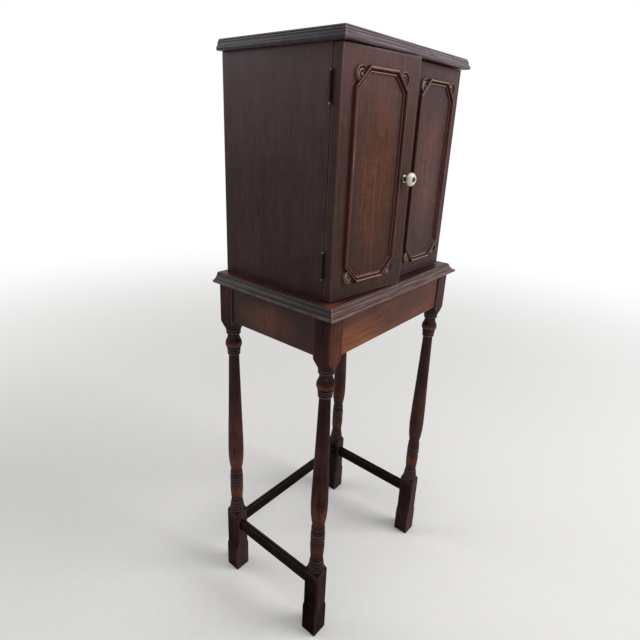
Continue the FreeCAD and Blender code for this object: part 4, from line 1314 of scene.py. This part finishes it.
@dataclass
class Door:
    """One door: board, octagonal bead moulding and corner carvings."""

    side: Side
    finish: Finish
    bleach: Pair
    meeting_margin: float = 36.0
    hinge_margin: float = 28.0
    end_margin: float = 27.0
    arris: float = 1.1
    band: float = 4.0
    cant: float = 31.5
    width: float = 11.0
    joint_gap: float = 0.05
    carving_radius: float = 13.0
    carving_offset: float = 3.5
    carving_lean: float = 3.2
    edge_bleach: float = -0.9

    @property
    def body(self) -> str:
        """The body that the door's pieces ride on."""
        return self.side.word + "_door"

    def hung(self) -> Matrix:
        """Mirrors a piece of the shut right door if need be and turns it to this door's rest."""
        joint = joint_of(self.body)
        axis = Vector(joint["pos_m"]) / MM
        turn = Matrix.Rotation(math.radians(-joint["range_deg"][0]), 4, Vector(joint["axis"]))
        return Matrix.Translation(axis) @ turn @ Matrix.Translation(-axis) @ self.side.mirror

    def octagon(self, inset: float) -> list[Pair]:
        """Corners of the moulding's octagon on the right door, as (x, height).

        Args:
            inset: How far inside the moulding's outer edge.

        Returns:
            Eight corners, from the lower left one on.
        """
        low, high = in_mm(SHUT_DOOR)
        left, right = self.meeting_margin + inset, high.x - self.hinge_margin - inset
        bottom, top = low.z + self.end_margin + inset, high.z - self.end_margin - inset
        cant = self.cant - inset * (2 - math.sqrt(2))
        return [(left + cant, bottom), (right - cant, bottom), (right, bottom + cant),
                (right, top - cant), (right - cant, top), (left + cant, top),
                (left, top - cant), (left, bottom + cant)]

    def bead_profile(self) -> Profile:
        """Section of the moulding: a bold outer bead, a groove and a small inner bead."""
        return (
            Profile(0.0, 0.0).line((2.9, 0.0))
            .bead((2.0, 5.7), 4.35, 14).line((1.6, 5.9), (1.5, 7.0))
            .bead((0.5, 10.7), 2.5, 12).line((0.0, self.width))
        )

    def moulding(self, level: bool) -> Stock:
        """The mitred lengths of the moulding.

        Args:
            level: True for the top and bottom lengths, False for the others.

        Returns:
            The stock with those lengths on it.
        """
        front = in_mm(SHUT_DOOR)[0].y
        outer, inner = self.octagon(0.0), self.octagon(self.width)
        stock = Stock()
        for index in range(8):
            after = (index + 1) % 8
            is_level = abs(outer[index][1] - outer[after][1]) < 0.01
            if is_level != level:
                continue
            way = (Vector(outer[after]) - Vector(outer[index])).normalized() * self.joint_gap
            stations = []
            for corner, shift in ((index, way), (after, -way)):
                a, b = Vector(outer[corner]) + shift, Vector(inner[corner]) + shift
                stations.append(lambda h, c, a=a, b=b: Vector((
                    a.x + (b.x - a.x) * c / self.width, front - h,
                    a.y + (b.y - a.y) * c / self.width)))
            stock.run(self.bead_profile(), stations, closed=True)
        stock.smooth()
        return stock

    def carving_profile(self) -> Profile:
        """Relief of a corner carving: rolled rim, hollow, inner ridge and bud."""
        r = self.carving_radius
        return (
            Profile(0.0, 0.0).line((r, 0.0), (r, 1.4))
            .swell((r - 1.6, 5.2), 0.7, 8)
            .swell((r - 3.6, 1.9), 0.9, 8).line((r - 4.0, 1.3), (r - 4.4, 1.3))
            .swell((r - 6.2, 4.0), 0.6, 7)
            .swell((r - 8.2, 2.2), 0.6, 7).line((r - 8.7, 1.5), (r - 9.1, 1.5))
            .swell((r - 10.6, 3.7), 0.5, 6)
            .swell((0.0, 4.3), 0.25, 6)
        )

    def carvings(self) -> Stock:
        """The four carvings outside the canted corners."""
        front = in_mm(SHUT_DOOR)[0].y
        corners = self.octagon(0.0)
        stock = Stock()
        for (a, b), dx, dz in (((7, 0), -1, -1), ((1, 2), 1, -1), ((3, 4), 1, 1), ((5, 6), -1, 1)):
            x, z = ((corners[a][part] + corners[b][part]) / 2 for part in (0, 1))
            middle = Vector((x, front, z))
            outward = Vector((dx * SLANT, 0.0, dz * SLANT))
            centre = middle + outward * self.carving_offset
            verts = stock.turn(self.carving_profile(), 56,
                               Matrix.Translation(centre) @ FACING_FRONT)
            for vert in verts:
                away = Vector((vert.co.x - centre.x, 0.0, vert.co.z - centre.z)).length
                vert.co -= outward * self.carving_lean * (1 - away / self.carving_radius)
            stock.cut(verts, middle, outward)
        stock.smooth()
        return stock

    def board(self) -> Stock:
        """The door board, made lighter towards its top and with painted shade on its hinge-side
        edge.
        """
        low, high = in_mm(SHUT_DOOR)
        foot, head = self.bleach
        stock = Stock()
        for vert in stock.board(low, high, self.arris, self.band):
            # Painted light: darker at the bottom, lighter at the top; the hinge-side edge takes
            # painted shade.
            share = (vert.co.z - low.z) / (high.z - low.z)
            on_edge = vert.co.x > high.x - 0.1
            vert[stock.bleach] = self.edge_bleach if on_edge else foot + (head - foot) * share
        return stock

    def make(self) -> None:
        """Makes the door and hangs it."""
        word = self.side.word
        for stock, name, node, finish, slot, crease in (
            (self.board(), "door_board_", "", self.finish, "door_mahogany", Crease.PLANED),
            (self.moulding(False), "upright_moulding_", "_moulding", Finish.MOULDING_MAHOGANY,
             "moulding_mahogany", Crease.RUN),
            # The level lengths take the lit copy of the moulding finish, with painted highlights.
            (self.moulding(True), "level_moulding_", "_moulding", Finish.MOULDING_MAHOGANY_LEVEL,
             "moulding_mahogany", Crease.RUN),
            (self.carvings(), "corner_carvings_", "_ornaments", Finish.CARVED_MAHOGANY,
             "moulding_mahogany", Crease.CARVED),
        ):
            stock.move(self.hung()).finish(Dressing(
                name + word, "door_" + word + node, finish, slot, crease, self.body))
        dress_solid(f"door_{word}_strike", Finish.SCREW_STEEL)


@dataclass
class Hinges:
    """The two butt hinges of one door: leaves, rolled knuckles, ball-tipped pins and screws."""

    door: Door
    heights: Pair = (864.5, 1151.5)
    length: float = 44.0
    knuckle: float = 2.6
    knuckle_ease: float = 0.3
    pin: float = 1.2
    ball: float = 2.4
    gap: float = 0.3
    leaf_width: float = 12.0
    leaf_thickness: float = 1.2
    leaf_clearance: float = 0.2
    leaf_arris: float = 0.2
    leaf_band: float = 1.0
    leaf_overhang: float = 0.2
    web_start: float = 1.0
    web_arris: float = 0.15
    web_band: float = 0.5
    screw_radius: float = 2.1
    screw_rise: float = 0.05
    screw_inset: float = 0.45
    screw_spread: float = 0.66
    slot_turns: Pair = (20.0, 37.0)

    def axis(self) -> Vector:
        """The hinge line of the right door."""
        return Vector(joint_of("right_door")["pos_m"]) / MM

    def knuckle_profile(self, low: float, high: float) -> Profile:
        """One length of the barrel, its ends eased."""
        r, ease = self.knuckle, self.knuckle_ease
        return Profile(0.0, low).line((r - ease, low), (r, low + ease), (r, high - ease),
                                      (r - ease, high), (0.0, high))

    def leaf(self, stock: Stock, height: float, way: int) -> None:
        """A leaf with its knuckles and screws.

        Args:
            stock: The stock that it is made on.
            height: Middle of the hinge.
            way: 1 for the leaf on the case, -1 for the one on the door.
        """
        axis, half, near = self.axis(), self.length / 2, self.leaf_clearance / 2
        low_y, high_y = sorted(
            axis.y + way * offset for offset in (near, near + self.leaf_thickness))
        start = CASE_HALF - self.leaf_width
        stock.board(Vector((start, low_y, height - half)),
                    Vector((CASE_HALF + self.leaf_overhang, high_y, height + half)),
                    self.leaf_arris, self.leaf_band)
        inner = half - self.length / 3
        spans = [(-half, -inner - self.gap / 2), (inner + self.gap / 2, half)]
        if way < 0:
            spans = [(-inner + self.gap / 2, inner - self.gap / 2)]
        for low, high in spans:
            stock.turn(self.knuckle_profile(height + low, height + high), 32,
                       Matrix.Translation((axis.x, axis.y, 0.0)))
            stock.board(Vector((CASE_HALF - self.web_start, low_y, height + low)),
                        Vector((axis.x, high_y, height + high)), self.web_arris, self.web_band)
        face = low_y if way > 0 else high_y
        out = turned_to(Vector((0.0, -way, 0.0)), "Z")
        first, more = self.slot_turns
        for offset in (-half * self.screw_spread, 0.0, half * self.screw_spread):
            point = (start + self.leaf_width * self.screw_inset, face, height + offset)
            slotted_screw(stock, Matrix.Translation(point) @ out, self.screw_radius,
                          first + more * offset, self.screw_rise)

    def pin_profile(self, height: float) -> Profile:
        """A pin with a turned ball at each end."""
        low, high, ball = height - self.length / 2, height + self.length / 2, self.ball
        return (
            Profile(0.0, low - 2 * ball)
            .arc((ball * 0.98, low - ball * 0.95), (self.pin + 0.2, low - 0.1), 12)
            .line((self.pin, low + 0.4), (self.pin, high - 0.4), (self.pin + 0.2, high + 0.1))
            .arc((ball * 0.98, high + ball * 0.95), (0.0, high + 2 * ball), 12)
        )

    def make(self) -> None:
        """Makes both hinges of the door."""
        side, body = self.door.side, self.door.body
        on_case, on_door, pins = Stock(), Stock(), Stock()
        axis = self.axis()
        for height in self.heights:
            self.leaf(on_case, height, 1)
            self.leaf(on_door, height, -1)
            pins.turn(self.pin_profile(height), 28, Matrix.Translation((axis.x, axis.y, 0.0)))
        word, slot = side.word, "dark_brass"
        on_case.move(side.mirror).finish(Dressing(
            "case_hinge_leaves_" + word, f"hinge_{word}_carcass_leaves", Finish.DARK_BRASS, slot))
        pins.move(side.mirror).finish(Dressing(
            "hinge_pins_" + word, f"hinge_{word}_pins", Finish.RUBBED_BALL_BRASS, slot))
        on_door.move(self.door.hung()).finish(Dressing(
            "door_hinge_leaves_" + word, f"door_{word}_hinge_leaves", Finish.DARK_BRASS, slot,
            body=body))


# Knob

@dataclass
class Knob:
    """The knob of the left door: rose, ceramic, ring, bolt, washer and nut."""

    door: Door
    from_middle: float = 18.0
    height: float = 1008.0
    neck_end: float = 9.5
    end: float = 22.0
    radius: float = 12.75
    bore: float = 2.1
    ring_radius: float = 4.9
    ring_rise: float = 0.7
    washer_radius: float = 5.0
    washer_thickness: float = 1.0
    bolt_radius: float = 2.0
    bolt_tail: float = 5.7
    bolt_head: float = 3.2
    bolt_head_rise: float = 0.5
    slot_turn: float = 35.0
    door_thickness: float = 20.0

    def ceramic(self) -> Profile:
        """The ceramic: waist, full round and a flat face with a recess."""
        r, foot, end = self.radius, self.neck_end, self.end
        return (
            Profile(self.bore, foot).line((5.5, foot), (6.0, foot + 0.4))
            .swell((r - 0.6, foot + 4.6), 1.3, 12)
            .swell((7.6, end - 0.2), 1.75, 18)
            .swell((5.6, end - 0.1), 0.1, 5)
            .line((5.1, end - 0.4), (5.0, end - 0.8), (self.bore, end - 0.8))
        )

    def rose(self) -> Profile:
        """The brass rose with its neck."""
        foot = self.neck_end
        return (
            Profile(self.bore, 0.0).line((7.3, 0.0), (7.5, 0.25))
            .swell((7.3, 1.1), 0.1, 4).line((6.7, 1.25))
            .swell((5.0, 2.4), 0.45, 6)
            .swell((3.8, 4.6), -0.4, 8)
            .swell((4.2, foot - 2.2), -0.15, 6)
            .bead((4.2, foot - 0.5), 0.3, 6)
            .line((4.5, foot - 0.3), (4.5, foot), (self.bore, foot))
        )

    def ring(self) -> Profile:
        """The brass ring in the recess of the face."""
        low, high, r = self.end - self.ring_rise, self.end + self.ring_rise, self.ring_radius
        return (Profile(self.bore, low).line((r, low), (r, self.end + 0.1))
                .swell((r - 1.4, high), 0.2, 6).line((self.bore, high)))

    def washer(self) -> Profile:
        """The washer inside the door."""
        high, r, ease = -self.door_thickness, self.washer_radius, 0.2
        low = high - self.washer_thickness
        return Profile(self.bore, low).line((r - ease, low), (r, low + ease), (r, high),
                                            (self.bore, high))

    def bolt(self) -> Stock:
        """The bolt from its slotted head to its tail."""
        r, top = self.bolt_radius, self.end + self.ring_rise
        tail = -self.door_thickness - self.bolt_tail
        stock = Stock()
        stock.turn(Profile(0.0, tail).line((r - 0.2, tail), (r, tail + 0.3), (r, top),
                                           (0.0, top)), 24)
        slotted_screw(stock, Matrix.Translation((0.0, 0.0, top)), self.bolt_head,
                      self.slot_turn, self.bolt_head_rise)
        return stock

    def make(self) -> None:
        """Makes the knob on its door, each piece turned upright and laid on the knob's axis."""
        place = Matrix.Translation((self.from_middle, in_mm(SHUT_DOOR)[0].y, self.height))
        hung = self.door.hung() @ place @ FACING_FRONT
        for name, profile, steps, finish, slot, node in (
            ("ceramic_knob", self.ceramic(), 72, Finish.WHITE_GLAZE, "white_glaze", "knob"),
            ("knob_rose_and_neck", self.rose(), 48, Finish.POLISHED_BRASS, "polished_brass",
             "knob_rose"),
            ("knob_face_ring", self.ring(), 40, Finish.TARNISHED_BRASS, "polished_brass",
             "knob_ring"),
            ("knob_washer_disc", self.washer(), 36, Finish.SCREW_STEEL, "steel", "knob_washer"),
        ):
            stock = Stock()
            stock.turn(profile.line(profile.points[0]), steps)
            stock.move(hung).finish(
                Dressing(name, node, finish, slot, Crease.FINE, self.door.body))
        self.bolt().move(hung).finish(Dressing(
            "knob_bolt_with_slot", "knob_bolt", Finish.TARNISHED_BRASS, "steel", Crease.FINE,
            self.door.body))
        dress_solid("knob_nut", Finish.SCREW_STEEL)


# Studio

@dataclass
class Studio:
    """A plain pale floor, soft light and the camera at the photograph's place."""

    camera_at: Triple = (-0.8342, -0.6111, 1.0911)
    looks_along: Triple = (0.7194, 0.6029, -0.3449)
    roll: float = 2.246
    lens: float = 27.1
    shift: Pair = (0.0117, -0.0238)
    floor_reach: float = 40.0
    floor_colours: tuple[Colour, Colour] = ((226, 225, 222), (232, 231, 229))
    floor_fade: Pair = (0.9, 3.6)
    world_light: float = 0.42
    lamps: tuple[tuple[str, Triple, Triple, float, float], ...] = (
        ("key_light", (1.3, -2.3, 2.7), (0.0, 0.0, 0.75), 1.7, 74.0),
        ("top_light", (-0.3, -0.4, 3.2), (0.0, 0.0, 0.9), 1.6, 14.0),
        ("back_light", (-1.4, 2.3, 2.2), (0.0, 0.0, 0.75), 1.6, 22.0))

    def seen(self, w: Wiring) -> Signal:
        """1 for what the camera, a mirror or a glass sees, 0 for what lights the object."""
        rays = w.make("ShaderNodeLightPath", "Is Camera Ray")
        return rays.most(rays.other("Is Glossy Ray")).most(rays.other("Is Transmission Ray"))

    def put(self, name: str, data: bpy.types.ID, place: Matrix | None = None) -> bpy.types.Object:
        """Puts something in the studio.

        Args:
            name: Its name.
            data: Its mesh, lamp or camera.
            place: Where it stands, if not at the origin.

        Returns:
            The object.
        """
        thing = bpy.data.objects.new(name, data)
        if place is not None:
            thing.matrix_world = place
        bpy.context.scene.collection.objects.link(thing)
        return thing

    def floor(self) -> None:
        """A pale floor that fades into the white surround far away."""
        mesh = bmesh.new()
        bmesh.ops.create_circle(mesh, cap_ends=True, segments=96, radius=self.floor_reach)
        data = bpy.data.meshes.new("studio_floor")
        mesh.to_mesh(data)
        mesh.free()
        w = Wiring("pale_floor")
        place = w.place()
        paint = w.make("ShaderNodeBsdfPrincipled", "BSDF", {
            "Base Color": w.mix(w.noise(place, Noise.SPECK), *self.floor_colours),
            "Roughness": 0.75, "Specular IOR Level": 0.2})
        glow = w.make("ShaderNodeEmission", "Emission", {"Color": (1, 1, 1, 1), "Strength": 1.0})
        share = w.length(place).between(*self.floor_fade) * self.seen(w)
        data.materials.append(w.show(w.make(
            "ShaderNodeMixShader", "Shader", {0: share, 1: paint, 2: glow})))
        self.put("studio_floor", data)

    def world(self) -> None:
        """A white surround that lights the object softly."""
        world = bpy.data.worlds.new("studio")
        bpy.context.scene.world = world
        w = Wiring(world)
        strength = self.world_light + self.seen(w) * (1.0 - self.world_light)
        w.show(w.make("ShaderNodeBackground", "Background", {
            "Color": (1, 1, 1, 1), "Strength": strength}), "World")

    def camera(self) -> None:
        """The camera of the photograph."""
        data = bpy.data.cameras.new("photo_camera")
        data.lens = self.lens
        data.shift_x, data.shift_y = self.shift
        bpy.context.scene.camera = self.put(
            "photo_camera", data, Matrix.Translation(self.camera_at)
            @ turned_to(Vector(self.looks_along), "-Z")
            @ Matrix.Rotation(math.radians(self.roll), 4, "Z"))

    def make(self) -> None:
        """Sets up floor, light and camera."""
        bpy.context.scene.view_settings.view_transform = "Standard"
        self.floor()
        self.world()
        for name, at, aim, size, power in self.lamps:
            data = bpy.data.lights.new(name, "AREA")
            data.shape = "SQUARE"
            data.size = size
            data.energy = power
            self.put(name, data, Matrix.Translation(at)
                     @ turned_to(Vector(aim) - Vector(at), "-Z"))
        self.camera()


def main() -> None:
    """Builds every sub-assembly in order."""
    logging.basicConfig(level=logging.INFO, format="%(name)s: %(message)s")
    Stand().make()
    Carcass().make()
    # Each door's pair paints light on it: darker at the bottom, lighter at the top.
    for side, finish, bleach in ((Side.LEFT, Finish.DOOR_MAHOGANY, (-0.8, 0.35)),
                                 (Side.RIGHT, Finish.RIGHT_DOOR_MAHOGANY, (-0.5, 0.12))):
        door = Door(side, finish, bleach)
        door.make()
        Hinges(door).make()
        if side is Side.LEFT:
            Knob(door).make()
    Studio().make()


if __name__ == "__main__":
    main()
